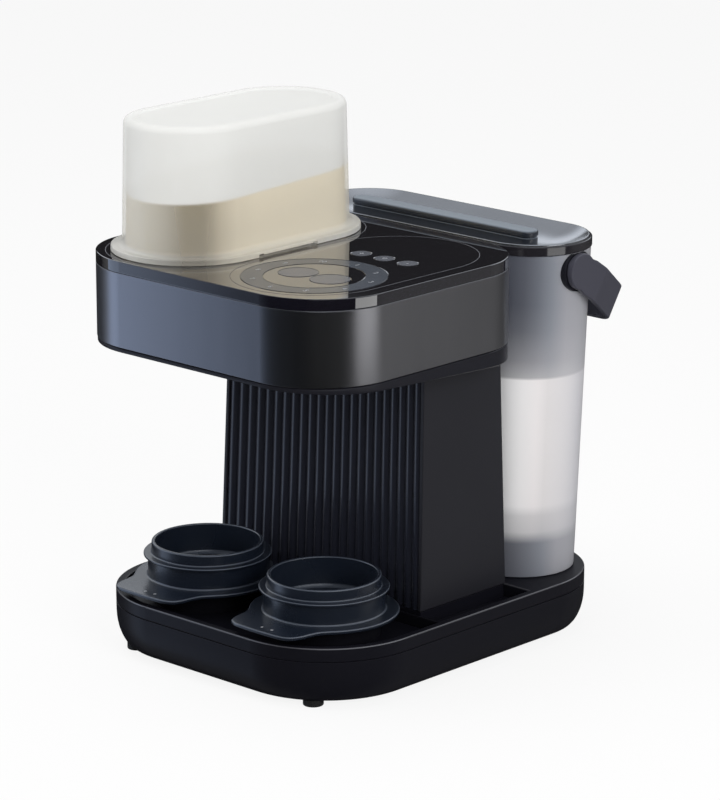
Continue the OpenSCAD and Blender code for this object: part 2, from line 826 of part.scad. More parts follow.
poppet_low = seat_height + valve_lift;
poppet_sheet = 2;
cage_low = tank_floor;
spring_low = poppet_low + poppet_sheet + 0.1;
spring_top = cage_low - 0.1;
stem_low = neck_low + 3;
pin_top = stem_low - face_gap;

module tank_valve() color(inner_white) translate([0, dock_y, 0]) {
    translate([0, 0, poppet_low]) cylinder(r = valve_bore - 0.8, h = poppet_sheet);
    translate([0, 0, stem_low]) cylinder(r = 2.2, h = poppet_low - stem_low + join);
}

spring_radius = 5;
spring_wire = 0.45;
spring_turns = 4;
spring_steps = 8;               // rings in each turn
spring_sides = 6;

// one ring of the spring's wire, at step i along the helix
function spring_ring(i) = let (
    turn = 360 * i / spring_steps,
    rise = spring_top - spring_low - 2 * spring_wire,
    height = spring_low + spring_wire + rise * i / (spring_turns * spring_steps))
    [for (k = [0 : spring_sides - 1]) let (
        across = 360 * k / spring_sides,
        reach = spring_radius + spring_wire * cos(across))
        [reach * cos(turn), dock_y + reach * sin(turn), height + spring_wire * sin(across)]];

module valve_spring() color(steel) {
    last = spring_turns * spring_steps;
    rings = [for (i = [0 : last]) spring_ring(i)];
    polyhedron(
        points = [for (ring = rings) each ring],
        faces = concat(
            [[for (k = [0 : spring_sides - 1]) k]],
            [[for (k = [spring_sides - 1 : -1 : 0]) last * spring_sides + k]],
            [for (i = [0 : last - 1], k = [0 : spring_sides - 1], half = [0, 1])
                let (a = i * spring_sides + k, b = i * spring_sides + (k + 1) % spring_sides)
                    half == 0 ? [a, a + spring_sides, b] : [b, a + spring_sides, b + spring_sides]]
        )
    );
}

module valve_cage() color(inner_white) translate([0, dock_y, cage_low]) difference() {
    cylinder(r = valve_bore + 3, h = 2);
    for (turn = [0 : 90 : 270]) rotate(turn) translate([6.2, 0, -1]) cylinder(r = 1.8, h = 4);
}

dock_radius = 14.5;
dock_low = rim_top - 15;
dock_bore = neck_radius + 0.4;
dock_floor = neck_low - 2;
dock_top = rim_top + 17;
dock_seal_height = 1.7;

module tank_dock() color(inner_white) translate([0, dock_y, 0]) difference() {
    union() {
        translate([0, 0, rim_top - 9]) cylinder(r = dock_radius, h = dock_top - rim_top + 9);
        translate([0, 0, rim_top]) cylinder(r = dock_radius + 4, h = 1.8);
        translate([0, 0, dock_low]) cylinder(r = port_radius, h = 10);
    }
    difference() {
        translate([0, 0, dock_floor]) cylinder(r = dock_bore, h = 40);
        translate([0, 0, dock_floor - 1]) cylinder(r = 2.4, h = pin_top - dock_floor + 1);
    }
    translate([0, 0, dock_floor - 8]) cylinder(r = 8, h = 5);
    for (turn = [0 : 120 : 240]) rotate(turn) translate([5.4, 0, dock_floor - 4])
        cylinder(r = 1.5, h = 8);
    translate([0, 0, dock_low - 1]) cylinder(r = 2.4, h = 14);
}

module dock_seal() color(rubber) translate([0, dock_y, dock_floor]) difference() {
    cylinder(r = dock_bore - 0.05, h = dock_seal_height);
    translate([0, 0, -1]) cylinder(r = 7.4, h = 4);
}

// ---------- lid ----------

lid_under = tank_top + 0.2;
lid_top = lid_under + lid_edge;
tank_radius = (tank_back_top - tank_front_top) / 2;
tank_middle = (tank_front_top + tank_back_top) / 2;
lid_straight = tank_width_top / 2 - tank_radius;
lid_radius = tank_radius + lid_overhang;
skirt_radius = tank_radius - tank_wall - 0.9;
skirt_low = tank_top - 8;
lid_sheet = 2.2;
dish_depth = 8;
dish_radius = lid_radius - 2.6;

// sweeps a profile of [distance from the core line, height] round the lid's stadium
module lid_sweep(profile) translate([0, tank_middle, 0]) {
    for (side = [-1, 1]) translate([side * lid_straight, 0, 0])
        rotate(side * 90 - 180) rotate_extrude(angle = 180) polygon(profile);
    for (side = [0, 180]) rotate(side) rotate([90, 0, 90])
        linear_extrude(2 * lid_straight, center = true) polygon(profile);
}

function dish_curve() = [for (k = [8 : -1 : 0]) let (share = k / 8)
    [dish_radius * share, lid_top - dish_depth * (1 - pow(share, 3))]];

module tank_lid() color(satin_grey) lid_sweep(concat([
    [0, lid_top - dish_depth - lid_sheet],
    [skirt_radius - lid_sheet, lid_top - dish_depth - lid_sheet],
    [skirt_radius - lid_sheet, skirt_low], [skirt_radius, skirt_low],
    [skirt_radius, lid_under], [lid_radius, lid_under],
    [lid_radius, lid_top - 1], [lid_radius - 1, lid_top]
], dish_curve()));

module lid_seal() color(rubber) lid_sweep([
    [skirt_radius + 0.02, skirt_low + 2], [skirt_radius + 0.45, skirt_low + 2.6],
    [skirt_radius + 0.45, skirt_low + 3.6], [skirt_radius + 0.02, skirt_low + 4.2]
]);

grip_front = tank_front_top + 6.5;
grip_depth = 12.5;

// everything under the lid's top surface, out to its edge
module under_lid() lid_sweep(concat([
    [0, lid_top - 20], [lid_radius, lid_top - 20],
    [lid_radius, lid_top - 1], [lid_radius - 1, lid_top]
], dish_curve()));

module lid_grip() color(dark_plastic) difference() {
    intersection() {
        translate([grip_left, 0, 0]) rotate([90, 0, 90]) linear_extrude(grip_right - grip_left)
            polygon([
                [grip_front, lid_top - dish_depth], [grip_front + grip_depth, lid_top - dish_depth],
                [grip_front + grip_depth, lid_top + grip_rise - 1.5],
                [grip_front + grip_depth - 1.5, lid_top + grip_rise],
                [grip_front + 2.5, lid_top + grip_rise - 0.4],
                [grip_front, lid_top + grip_rise - 2.2]
            ]);
        slab(lid_top - dish_depth - 1, lid_top + grip_rise + 1) polygon([
            [grip_left, grip_front + 3], [grip_left + 3, grip_front],
            [grip_right - 3, grip_front], [grip_right, grip_front + 3],
            [grip_right, grip_front + grip_depth - 4], [grip_right - 4, grip_front + grip_depth],
            [grip_left + 4, grip_front + grip_depth], [grip_left, grip_front + grip_depth - 4]
        ]);
    }
    under_lid();
}

// ---------- bail handle ----------

pivot_height = tank_top - pivot_drop;
bail_bend = 12;                 // outer radius of the strap's two bends
lean_start = lid_top - pivot_height + 1.5;
eye_radius = strap_width / 2 + 0.9;
pin_length = 2.6;
arm_run = (bail_reach - bail_bend - lean_start + bail_bend * sin(bail_lean)) / cos(bail_lean);
bend_x = bail_width / 2 - arm_run * sin(bail_lean) - bail_bend * cos(bail_lean);
bend_y = bail_reach - bail_bend;

// the bail from above, as if level, drawn in by an inset: X across, Y away from the pivots
module bail_outline(inset) {
    outer = bail_width / 2 - inset;
    bend = bail_bend - inset;
    knee = lean_start - inset * tan(bail_lean / 2);
    for (side = [-1, 1]) translate([side * bend_x, bend_y]) circle(r = bend);
    polygon([
        [outer, -20], [outer, knee],
        [bend_x + bend * cos(bail_lean), bend_y + bend * sin(bail_lean)],
        [bend_x, bend_y + bend], [-bend_x, bend_y + bend],
        [-bend_x - bend * cos(bail_lean), bend_y + bend * sin(bail_lean)],
        [-outer, knee], [-outer, -20]
    ]);
}

module at_pivots() translate([0, tank_middle, pivot_height]) children();

module bail_handle() color(dark_plastic) at_pivots() rotate([-bail_rest_angle, 0, 0]) difference() {
    intersection() {
        linear_extrude(3 * strap_width, center = true) difference() {
            bail_outline(0);
            difference() {
                union() {
                    bail_outline(strap_thickness);
                    square([bail_width - 2 * strap_thickness, 30], center = true);
                }
                translate([-far / 2, bail_reach - bridge_thickness]) square([far, 20]);
            }
        }
        translate([-far / 2, 0, 0]) rotate([90, 0, 90]) linear_extrude(far) {
            circle(r = eye_radius);
            translate([0, -strap_width / 2]) square([bail_reach + 1, strap_width]);
        }
    }
    for (side = [-1, 1]) translate([side * (bail_width / 2 - strap_thickness), 0, 0])
        rotate([0, side * 90, 0]) translate([0, 0, -1])
            cylinder(r = pivot_pin_radius + running_gap, h = pin_length + 1.3);
}

boss_face = bail_width / 2 - strap_thickness - face_gap;

module bail_bosses() color(dark_plastic) difference() {
    at_pivots() for (side = [-1, 1]) rotate([0, side * 90, 0]) {
        translate([0, 0, boss_face - 20]) cylinder(r = eye_radius - face_gap, h = 20);
        translate([0, 0, boss_face - 1]) cylinder(r = pivot_pin_radius, h = pin_length + face_gap + 1);
    }
    tank_block(tank_low, tank_top, 0);
    slab(lid_under - face_gap, lid_top) square(far, center = true);
}

base_tub();
base_deck();
rubber_feet();
base_screws();
mains_gland();
drip_tray();
bottle_stand_left();
bottle_stand_right();
column_foot();
column_cover();
splash_panel();
power_board();
water_pump();
water_heater();
suction_hose();
transfer_hose();
delivery_hose();
head_undercover();
head_band();
top_panel();
dial_ring();
touch_pads();
touch_board();
head_screws();
water_spout();
powder_chute();
gear_motor();
drive_dog();
powder_container();
container_base();
container_seal();
dosing_rotor();
tank_dock();
dock_seal();
water_tank();
tank_lid();
lid_grip();
lid_seal();
bail_handle();
bail_bosses();
tank_valve();
valve_spring();
valve_cage();
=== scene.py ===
"""The looks of the formula maker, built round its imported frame. Metres, Z up, Y to the back."""

import math

import bmesh
import bpy
from mathutils import Matrix, Vector, noise


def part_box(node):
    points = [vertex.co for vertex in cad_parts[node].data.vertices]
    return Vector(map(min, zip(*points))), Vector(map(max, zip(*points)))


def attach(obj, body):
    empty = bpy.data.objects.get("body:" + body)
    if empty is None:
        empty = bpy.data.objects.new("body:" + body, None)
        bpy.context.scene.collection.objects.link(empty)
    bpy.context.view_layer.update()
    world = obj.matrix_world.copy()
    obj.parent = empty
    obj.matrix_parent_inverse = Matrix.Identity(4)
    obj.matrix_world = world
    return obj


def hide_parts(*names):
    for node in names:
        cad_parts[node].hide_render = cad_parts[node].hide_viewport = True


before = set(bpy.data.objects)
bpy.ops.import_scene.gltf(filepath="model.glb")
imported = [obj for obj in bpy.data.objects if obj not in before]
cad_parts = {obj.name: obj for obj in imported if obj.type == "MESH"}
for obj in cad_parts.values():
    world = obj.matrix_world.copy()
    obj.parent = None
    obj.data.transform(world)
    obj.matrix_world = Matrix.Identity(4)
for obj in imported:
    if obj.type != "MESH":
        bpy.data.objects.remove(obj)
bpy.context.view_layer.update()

MM = 0.001

# ---------- sizes, in millimetres ----------

HEAD_FRONT_RADIUS, HEAD_BACK_RADIUS = 48.5, 42.0
BASE_FRONT_RADIUS, BASE_BACK_RADIUS = 62.4, 55.6
TUB_DRAW, TUB_CURVE = 6.0, 3.2          # how far, and how late, the tub draws in towards its foot
HEAD_WALL = 3.0
FLUTES, FLUTE_DEPTH, PANEL_HOLLOW, SPLASH_SHEET = 23, 1.5, 4.0, 2.5

STATION_X, STATION_Y = 47.6, -76.0
RING_RADIUS, RING_BORE, RING_TOP = 33.1, 30.9, 64.8
SHOULDER_RADIUS, SHOULDER_TOP, SHOULDER_LOW = 37.9, 57.8, 56.2
DRUM_RADIUS, PLATE_RADIUS, PLATE_TOP, PLATE_LOW = 35.4, 43.5, 44.0, 41.8
CUP_FLOOR, TAB_REACH, TAB_HALF = 46.0, 56.0, 26.0

CONTAINER_X, CONTAINER_Y, CONTAINER_STRAIGHT = -49.7, -46.9, 75.8
CONTAINER_FOOT, CONTAINER_TOP, CONTAINER_WALL = 39.8, 38.0, 2.0
FLANGE_RADIUS, FLANGE_HEIGHT = 46.4, 3.4
LATCH_Y, LATCH_LENGTH, LATCH_DEPTH = -51.5, 48.2, 5.0

TANK_HALF = (92.0, 100.0)               # at the foot and under the lid, as in the next three
TANK_FRONT = (49.0, 49.5)
TANK_BACK = (115.0, 118.0)
TANK_Z = (37.6, 234.6)
TANK_WALL, TANK_FLOOR, FLOOR_SHEET = 2.2, 62.0, 2.4
NECK_RADIUS, NECK_LOW, VALVE_SEAT, VALVE_BORE, VALVE_HOLE = 11.0, 44.0, 50.0, 8.0, 5.0
WATER_LEVEL = 160.5
LID_OVERHANG, LID_LOW, LID_TOP, DISH_DEPTH = 0.6, 234.8, 241.5, 8.0
PIVOT = Vector((0, 83.75, 223.8))
BAIL_WIDTH, BAIL_REACH, BAIL_ANGLE, BAIL_LEAN = 210.0, 54.8, 33.0, 17.0
STRAP_WIDTH, STRAP_THICKNESS, BRIDGE_THICKNESS, BAIL_BEND = 21.8, 3.9, 6.6, 12.0

DIAL_X, DIAL_Y, DIAL_OUTER, DIAL_INNER = 49.0, -85.0, 41.5, 29.0
PAD_RADIUS, PAD_OFFSET = 11.5, 12.3
KEY_RADIUS, KEY_PITCH, KEY_Y = 5.9, 18.1, -27.0


def node_box(name):
    """A node's lowest and highest corners, in millimetres."""
    low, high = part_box(name)
    return low / MM, high / MM


# ---------- curves and skins ----------

def arc(start, end, steps):
    """Angles in radians, from start to end in degrees."""
    return [math.radians(start + (end - start) * k / steps) for k in range(steps + 1)]


def between(low, high, share):
    return low + (high - low) * share


def rounded(corners, closed=False, steps=5):
    """A profile through corners of (u, v) or (u, v, radius), each radius turned as an arc."""
    points = []
    for i, corner in enumerate(corners):
        here = Vector(corner[:2])
        radius = corner[2] if len(corner) > 2 else 0
        if radius == 0 or (not closed and i in (0, len(corners) - 1)):
            points.append(tuple(here))
            continue
        back = Vector(corners[i - 1][:2]) - here
        ahead = Vector(corners[(i + 1) % len(corners)][:2]) - here
        half = back.angle(ahead) / 2
        reach = min(radius / math.tan(half), 0.49 * back.length, 0.49 * ahead.length)
        radius = reach * math.tan(half)
        middle = here + (back.normalized() + ahead.normalized()).normalized() * radius / math.sin(half)
        first = here + back.normalized() * reach - middle
        last = here + ahead.normalized() * reach - middle
        turn = math.pi - 2 * half
        points += [tuple(middle + (first * math.sin(turn * (1 - k / steps))
                                   + last * math.sin(turn * k / steps)) / math.sin(turn))
                   for k in range(steps + 1)]
    return points


def box_plan(low, high, front_radius, back_radius, steps=24):
    """Ring maker for a rectangle with rounded corners: (inset, z) gives its points."""
    spots = [(high.x - front_radius, low.y + front_radius, front_radius, -90),
             (high.x - back_radius, high.y - back_radius, back_radius, 0),
             (low.x + back_radius, high.y - back_radius, back_radius, 90),
             (low.x + front_radius, low.y + front_radius, front_radius, 180)]

    def ring(inset, z):
        return [Vector((x + (radius - inset) * math.cos(a), y + (radius - inset) * math.sin(a), z))
                for x, y, radius, start in spots for a in arc(start, start + 90, steps)]
    return ring


def long_plan(radius_at, x, y, straight, side_stops=(), steps=28):
    """Ring maker for a stadium along Y. side_stops are extra points on its right side."""
    def ring(inset, z):
        radius = radius_at(z) - inset
        front = [Vector((x + radius * math.cos(a), y - straight / 2 + radius * math.sin(a), z))
                 for a in arc(-180, 0, steps)]
        side = [Vector((x + radius, stop, z)) for stop in side_stops]
        back = [Vector((x + radius * math.cos(a), y + straight / 2 + radius * math.sin(a), z))
                for a in arc(0, 180, steps)]
        return front + side + back
    return ring


def tank_ring(inset, z, steps=48):
    """The tank's stadium along X at one height."""
    share = (z - TANK_Z[0]) / (TANK_Z[1] - TANK_Z[0])
    front, back = between(*TANK_FRONT, share), between(*TANK_BACK, share)
    radius = (back - front) / 2
    middle = between(*TANK_HALF, share) - radius
    return [Vector((side * middle + (radius - inset) * math.cos(a),
                    (front + back) / 2 + (radius - inset) * math.sin(a), z))
            for side, start in ((1, -90), (-1, 90)) for a in arc(start, start + 180, steps)]


def disc_ring(x, y, radius, z, steps=48):
    """A circle with as many points as the tank's ring."""
    return [Vector((x + radius * math.cos(a), y + radius * math.sin(a), z))
            for start in (-90, 90) for a in arc(start, start + 180, steps)]


def round_plan(x, y, count=96):
    """Ring maker for a turned piece: (radius, z) gives its points."""
    def ring(radius, z):
        return [Vector((x + radius * math.cos(math.tau * k / count),
                        y + radius * math.sin(math.tau * k / count), z)) for k in range(count)]
    return ring


def outline_plan(outline):
    """Ring maker for any closed outline, drawn in along its own normals."""
    count = len(outline)
    normals = []
    for k in range(count):
        along = Vector(outline[(k + 1) % count]) - Vector(outline[k - 1])
        normals.append(Vector((along.y, -along.x)).normalized())

    def ring(inset, z):
        return [Vector((p[0] - inset * n.x, p[1] - inset * n.y, z)) for p, n in zip(outline, normals)]
    return ring


def skin(rings, loop=False):
    """Points and faces that join rings of equal length, looped or capped at both ends."""
    count = len(rings[0])
    points = [p for ring in rings for p in ring]
    faces = []
    for i in range(len(rings) if loop else len(rings) - 1):
        a, b = i * count, (i + 1) % len(rings) * count
        faces += [(a + k, a + (k + 1) % count, b + (k + 1) % count, b + k) for k in range(count)]
    if not loop:
        faces.append(tuple(reversed(range(count))))
        faces.append(tuple(range(len(points) - count, len(points))))
    return points, faces


def loft(ring, profile, loop=False):
    return skin([ring(u, z) for u, z in profile], loop)


def make(name, *skins, sharp=38):
    """One object from skins in millimetres, with smooth faces and sharp corners kept."""
    points, faces = [], []
    for more_points, more_faces in skins:
        faces += [tuple(len(points) + i for i in face) for face in more_faces]
        points += [Vector(p) * MM for p in more_points]
    mesh = bpy.data.meshes.new(name)
    mesh.from_pydata(points, [], faces)
    work = bmesh.new()
    work.from_mesh(mesh)
    bmesh.ops.remove_doubles(work, verts=work.verts, dist=1e-7)
    bmesh.ops.dissolve_degenerate(work, edges=work.edges, dist=1e-7)
    bmesh.ops.recalc_face_normals(work, faces=work.faces)
    work.to_mesh(mesh)
    work.free()
    mesh.shade_smooth()
    mesh.set_sharp_from_angle(angle=math.radians(sharp))
    thing = bpy.data.objects.new(name, mesh)
    bpy.context.scene.collection.objects.link(thing)
    even_normals(thing)
    return thing


def even_normals(thing):
    """Flat faces stay flat beside their rounded edges."""
    modifier = thing.modifiers.new("even_normals", "WEIGHTED_NORMAL")
    modifier.weight = 100
    modifier.keep_sharp = True


def dress(thing, finish, slot, body, *nodes):
    """Gives a piece its material, its body and the nodes that it stands for; its slot is not used."""
    thing.data.materials.clear()
    thing.data.materials.append(finish)
    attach(thing, body)
    if nodes:
        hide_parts(*nodes)
    return thing


# ---------- materials ----------

def ramp_node(nodes, stops):
    """A colour ramp through (place, colour) stops."""
    ramp = nodes.new("ShaderNodeValToRGB")
    marks = ramp.color_ramp.elements
    while len(marks) < len(stops):
        marks.new(0.5)
    for mark, (place, colour) in zip(marks, stops):
        mark.position = place
        mark.color = (*colour, 1)
    return ramp


def surface(name, colour, roughness, grain=(900, 0.02), mottle=(14, 0.08), stretch=(1, 1, 1),
            rough_spread=0.06, **sockets):
    """A moulded surface: fine grain as bump, broad mottling of colour and roughness."""
    made = bpy.data.materials.new(name)
    made.use_nodes = True
    nodes, links = made.node_tree.nodes, made.node_tree.links
    shader = nodes["Principled BSDF"]
    place = nodes.new("ShaderNodeTexCoord")
    scale = nodes.new("ShaderNodeMapping")
    scale.inputs["Scale"].default_value = stretch
    links.new(place.outputs["Object"], scale.inputs["Vector"])

    fine = nodes.new("ShaderNodeTexNoise")
    fine.inputs["Scale"].default_value = grain[0]
    fine.inputs["Detail"].default_value = 3
    links.new(scale.outputs["Vector"], fine.inputs["Vector"])
    bump = nodes.new("ShaderNodeBump")
    bump.inputs["Strength"].default_value = grain[1]
    bump.inputs["Distance"].default_value = 0.0005
    links.new(fine.outputs["Fac"], bump.inputs["Height"])
    links.new(bump.outputs["Normal"], shader.inputs["Normal"])

    broad = nodes.new("ShaderNodeTexNoise")
    broad.inputs["Scale"].default_value = mottle[0]
    broad.inputs["Detail"].default_value = 4
    links.new(scale.outputs["Vector"], broad.inputs["Vector"])
    tint = nodes.new("ShaderNodeMix")
    tint.data_type = "RGBA"
    low = [c * (1 - mottle[1]) for c in colour]
    high = [min(1, c * (1 + mottle[1])) for c in colour]
    tint.inputs["A"].default_value = (*low, 1)
    tint.inputs["B"].default_value = (*high, 1)
    links.new(broad.outputs["Fac"], tint.inputs["Factor"])
    links.new(tint.outputs["Result"], shader.inputs["Base Color"])
    spread = nodes.new("ShaderNodeMapRange")
    spread.inputs["To Min"].default_value = max(0.02, roughness - rough_spread)
    spread.inputs["To Max"].default_value = min(1, roughness + rough_spread)
    links.new(broad.outputs["Fac"], spread.inputs["Value"])
    links.new(spread.outputs["Result"], shader.inputs["Roughness"])
    for socket, value in sockets.items():
        shader.inputs[socket.replace("_", " ")].default_value = value
    return made


def along(made, direction, stops):
    """A colour by the distance in millimetres along one direction of the machine."""
    nodes, links = made.node_tree.nodes, made.node_tree.links
    place = next(n for n in nodes if n.type == "TEX_COORD")
    reach = nodes.new("ShaderNodeVectorMath")
    reach.operation = "DOT_PRODUCT"
    reach.inputs[1].default_value = direction
    links.new(place.outputs["Object"], reach.inputs[0])
    low, high = stops[0][0], stops[-1][0]
    share = nodes.new("ShaderNodeMapRange")
    share.inputs["From Min"].default_value = low * MM
    share.inputs["From Max"].default_value = high * MM
    links.new(reach.outputs["Value"], share.inputs["Value"])
    ramp = ramp_node(nodes, [((spot - low) / (high - low), colour) for spot, colour in stops])
    links.new(share.outputs["Result"], ramp.inputs["Fac"])
    return ramp.outputs["Color"]


def mixed(made, factor, first, second):
    """Blends two colours by a share; each may be a value or a socket."""
    blend = made.node_tree.nodes.new("ShaderNodeMix")
    blend.data_type = "RGBA"
    for socket, value in (("Factor", factor), ("A", first), ("B", second)):
        if isinstance(value, bpy.types.NodeSocket):
            made.node_tree.links.new(value, blend.inputs[socket])
        else:
            blend.inputs[socket].default_value = value
    return blend.outputs["Result"]


def retint(made, colour, share):
    """Lays a colour over the mottled one of a surface."""
    base = made.node_tree.nodes["Principled BSDF"].inputs["Base Color"]
    made.node_tree.links.new(mixed(made, share, base.links[0].from_socket, colour), base)


def facing_up(made, stops):
    """A share by how far the surface faces up, through stops of (upward part, share)."""
    nodes, links = made.node_tree.nodes, made.node_tree.links
    geometry = nodes.new("ShaderNodeNewGeometry")
    split = nodes.new("ShaderNodeSeparateXYZ")
    links.new(geometry.outputs["Normal"], split.inputs["Vector"])
    ramp = ramp_node(nodes, [(up, [share] * 3) for up, share in stops])
    links.new(split.outputs["Z"], ramp.inputs["Fac"])
    return ramp.outputs["Color"]


# The tints below are painted by place, to stand for light scattered in and behind the frosted walls.
# They don't change with the light or the view.
EMPTY_TINTS = [                         # of the empty tank's wall, from the machine to the back
    (49, (0.085, 0.090, 0.115)), (55, (0.10, 0.105, 0.13)), (60, (0.14, 0.15, 0.18)),
    (67, (0.21, 0.225, 0.26)), (77, (0.34, 0.34, 0.37)), (91, (0.38, 0.38, 0.41)),
    (118, (0.38, 0.38, 0.41))]
WATER_TINTS = [                         # where water stands, in the same way
    (49, (1.0, 1.0, 1.0)), (56, (1.0, 0.98, 0.98)), (62, (0.93, 0.89, 0.89)), (67, (0.80, 0.77, 0.77)),
    (91, (0.68, 0.67, 0.70)), (118, (0.62, 0.62, 0.66))]
WATER_SHOWS = [                         # the water through the wall, by height
    (0, 0.0), (TANK_FLOOR - 3, 0.05), (TANK_FLOOR, 0.30), (TANK_FLOOR + 4, 0.60),
    (TANK_FLOOR + 14, 0.68), (TANK_FLOOR + 20, 0.97), (WATER_LEVEL - 0.2, 1.0),
    (WATER_LEVEL + 0.2, 0.42), (WATER_LEVEL + 11, 0.20), (WATER_LEVEL + 29, 0.05),
    (WATER_LEVEL + 45, 0.0)]


def tank_plastic():
    """Frosted plastic with painted light and shade: dark beside the machine, paler behind, white where
    water stands.
    """
    made = surface("frosted_clear", (0.16, 0.18, 0.21), 0.34, grain=(1400, 0.05), mottle=(9, 0.10),
                   Specular_IOR_Level=0.35, Alpha=0.85)
    water_shows = along(made, (0, 0, 1), [(z, [share] * 3) for z, share in WATER_SHOWS])
    empty, filled = along(made, (0, 1, 0), EMPTY_TINTS), along(made, (0, 1, 0), WATER_TINTS)
    retint(made, mixed(made, water_shows, empty, filled), 0.9)
    return made


POWDER_LINE, POWDER_CLIMB = 281.3, 0.046      # height at y = 0, and rise towards the back
# The powder's own tints, with painted shade in the dark band at the front left, where the powder faces
# away from the light.
POWDER_TINTS_AND_SHADE = [                        # of the wall before powder, with a dark band at its front left
    (-132, (0.85, 0.84, 0.80)), (-122, (0.66, 0.65, 0.60)), (-110, (0.46, 0.445, 0.40)),
    (-100, (0.27, 0.24, 0.185)), (-90, (0.27, 0.24, 0.185)), (-84, (0.42, 0.38, 0.30)),
    (-79, (0.62, 0.57, 0.46)), (-70, (0.84, 0.78, 0.65)), (-58, (0.92, 0.86, 0.72)),
    (20, (0.93, 0.88, 0.75))]


def container_plastic():
    """Milky plastic: white where it is empty, and painted in the powder's tints below its line, with
    painted shade at its front left.
    """
    made = surface("milky_clear", (0.84, 0.84, 0.82), 0.38, grain=(1500, 0.04), mottle=(10, 0.03),
                   Specular_IOR_Level=0.3, Alpha=0.46)
    shows = along(made, (0, -POWDER_CLIMB, 1), [
        (243, [0.0] * 3), (246, [0.8] * 3), (POWDER_LINE - 0.8, [0.95] * 3),
        (POWDER_LINE + 0.8, [0.0] * 3), (330, [0.0] * 3)])
    retint(made, along(made, (0.68, 0.73, 0), POWDER_TINTS_AND_SHADE), shows)
    return made


def powder_looks():
    """Powder with painted light on its top, so that its top doesn't darken the milky wall before it."""
    made = surface("powder", (0.74, 0.62, 0.38), 0.9, grain=(2200, 0.6), mottle=(55, 0.07),
                   Specular_IOR_Level=0.1)
    top = facing_up(made, [(0.0, 0.0), (0.4, 0.0), (0.7, 0.95), (1.0, 0.95)])
    retint(made, (0.84, 0.84, 0.82, 1), top)
    return made


def grip_looks():
    """Dark plastic with a painted highlight on its top, lighter than its sides, as the photo shows it.
    """
    made = surface("grip_grey", (0.010, 0.013, 0.020), 0.36, grain=(1300, 0.05), Specular_IOR_Level=0.9)
    top = facing_up(made, [(0.0, 0.0), (0.5, 0.0), (0.9, 1.0), (1.0, 1.0)])
    retint(made, (0.12, 0.145, 0.175, 1), top)
    return made


# Between upright (0) and level (1), the rounded edges: the share of their painted highlight colour, and
# their gloss.
EDGE_HIGHLIGHT_SHARES = [(0.0, 0.0), (0.15, 0.0), (0.35, 1.0), (0.86, 1.0), (0.97, 0.0), (1.0, 0.0)]
EDGE_GLOSS = [(0.0, 0.13), (0.15, 0.13), (0.35, 1.0), (0.86, 1.0), (0.97, 0.05), (1.0, 0.05)]


def painted_edge_highlights(made, colour, glossy=False):
    """Paints a highlight on the rounded upper edges of a surface, and makes them glossier than the
    faces beside them.
    """
    retint(made, (*colour, 1), facing_up(made, EDGE_HIGHLIGHT_SHARES))
    if glossy:
        edges = facing_up(made, EDGE_GLOSS)
        shader = made.node_tree.nodes["Principled BSDF"]
        made.node_tree.links.new(edges, shader.inputs["Specular IOR Level"])
    return made


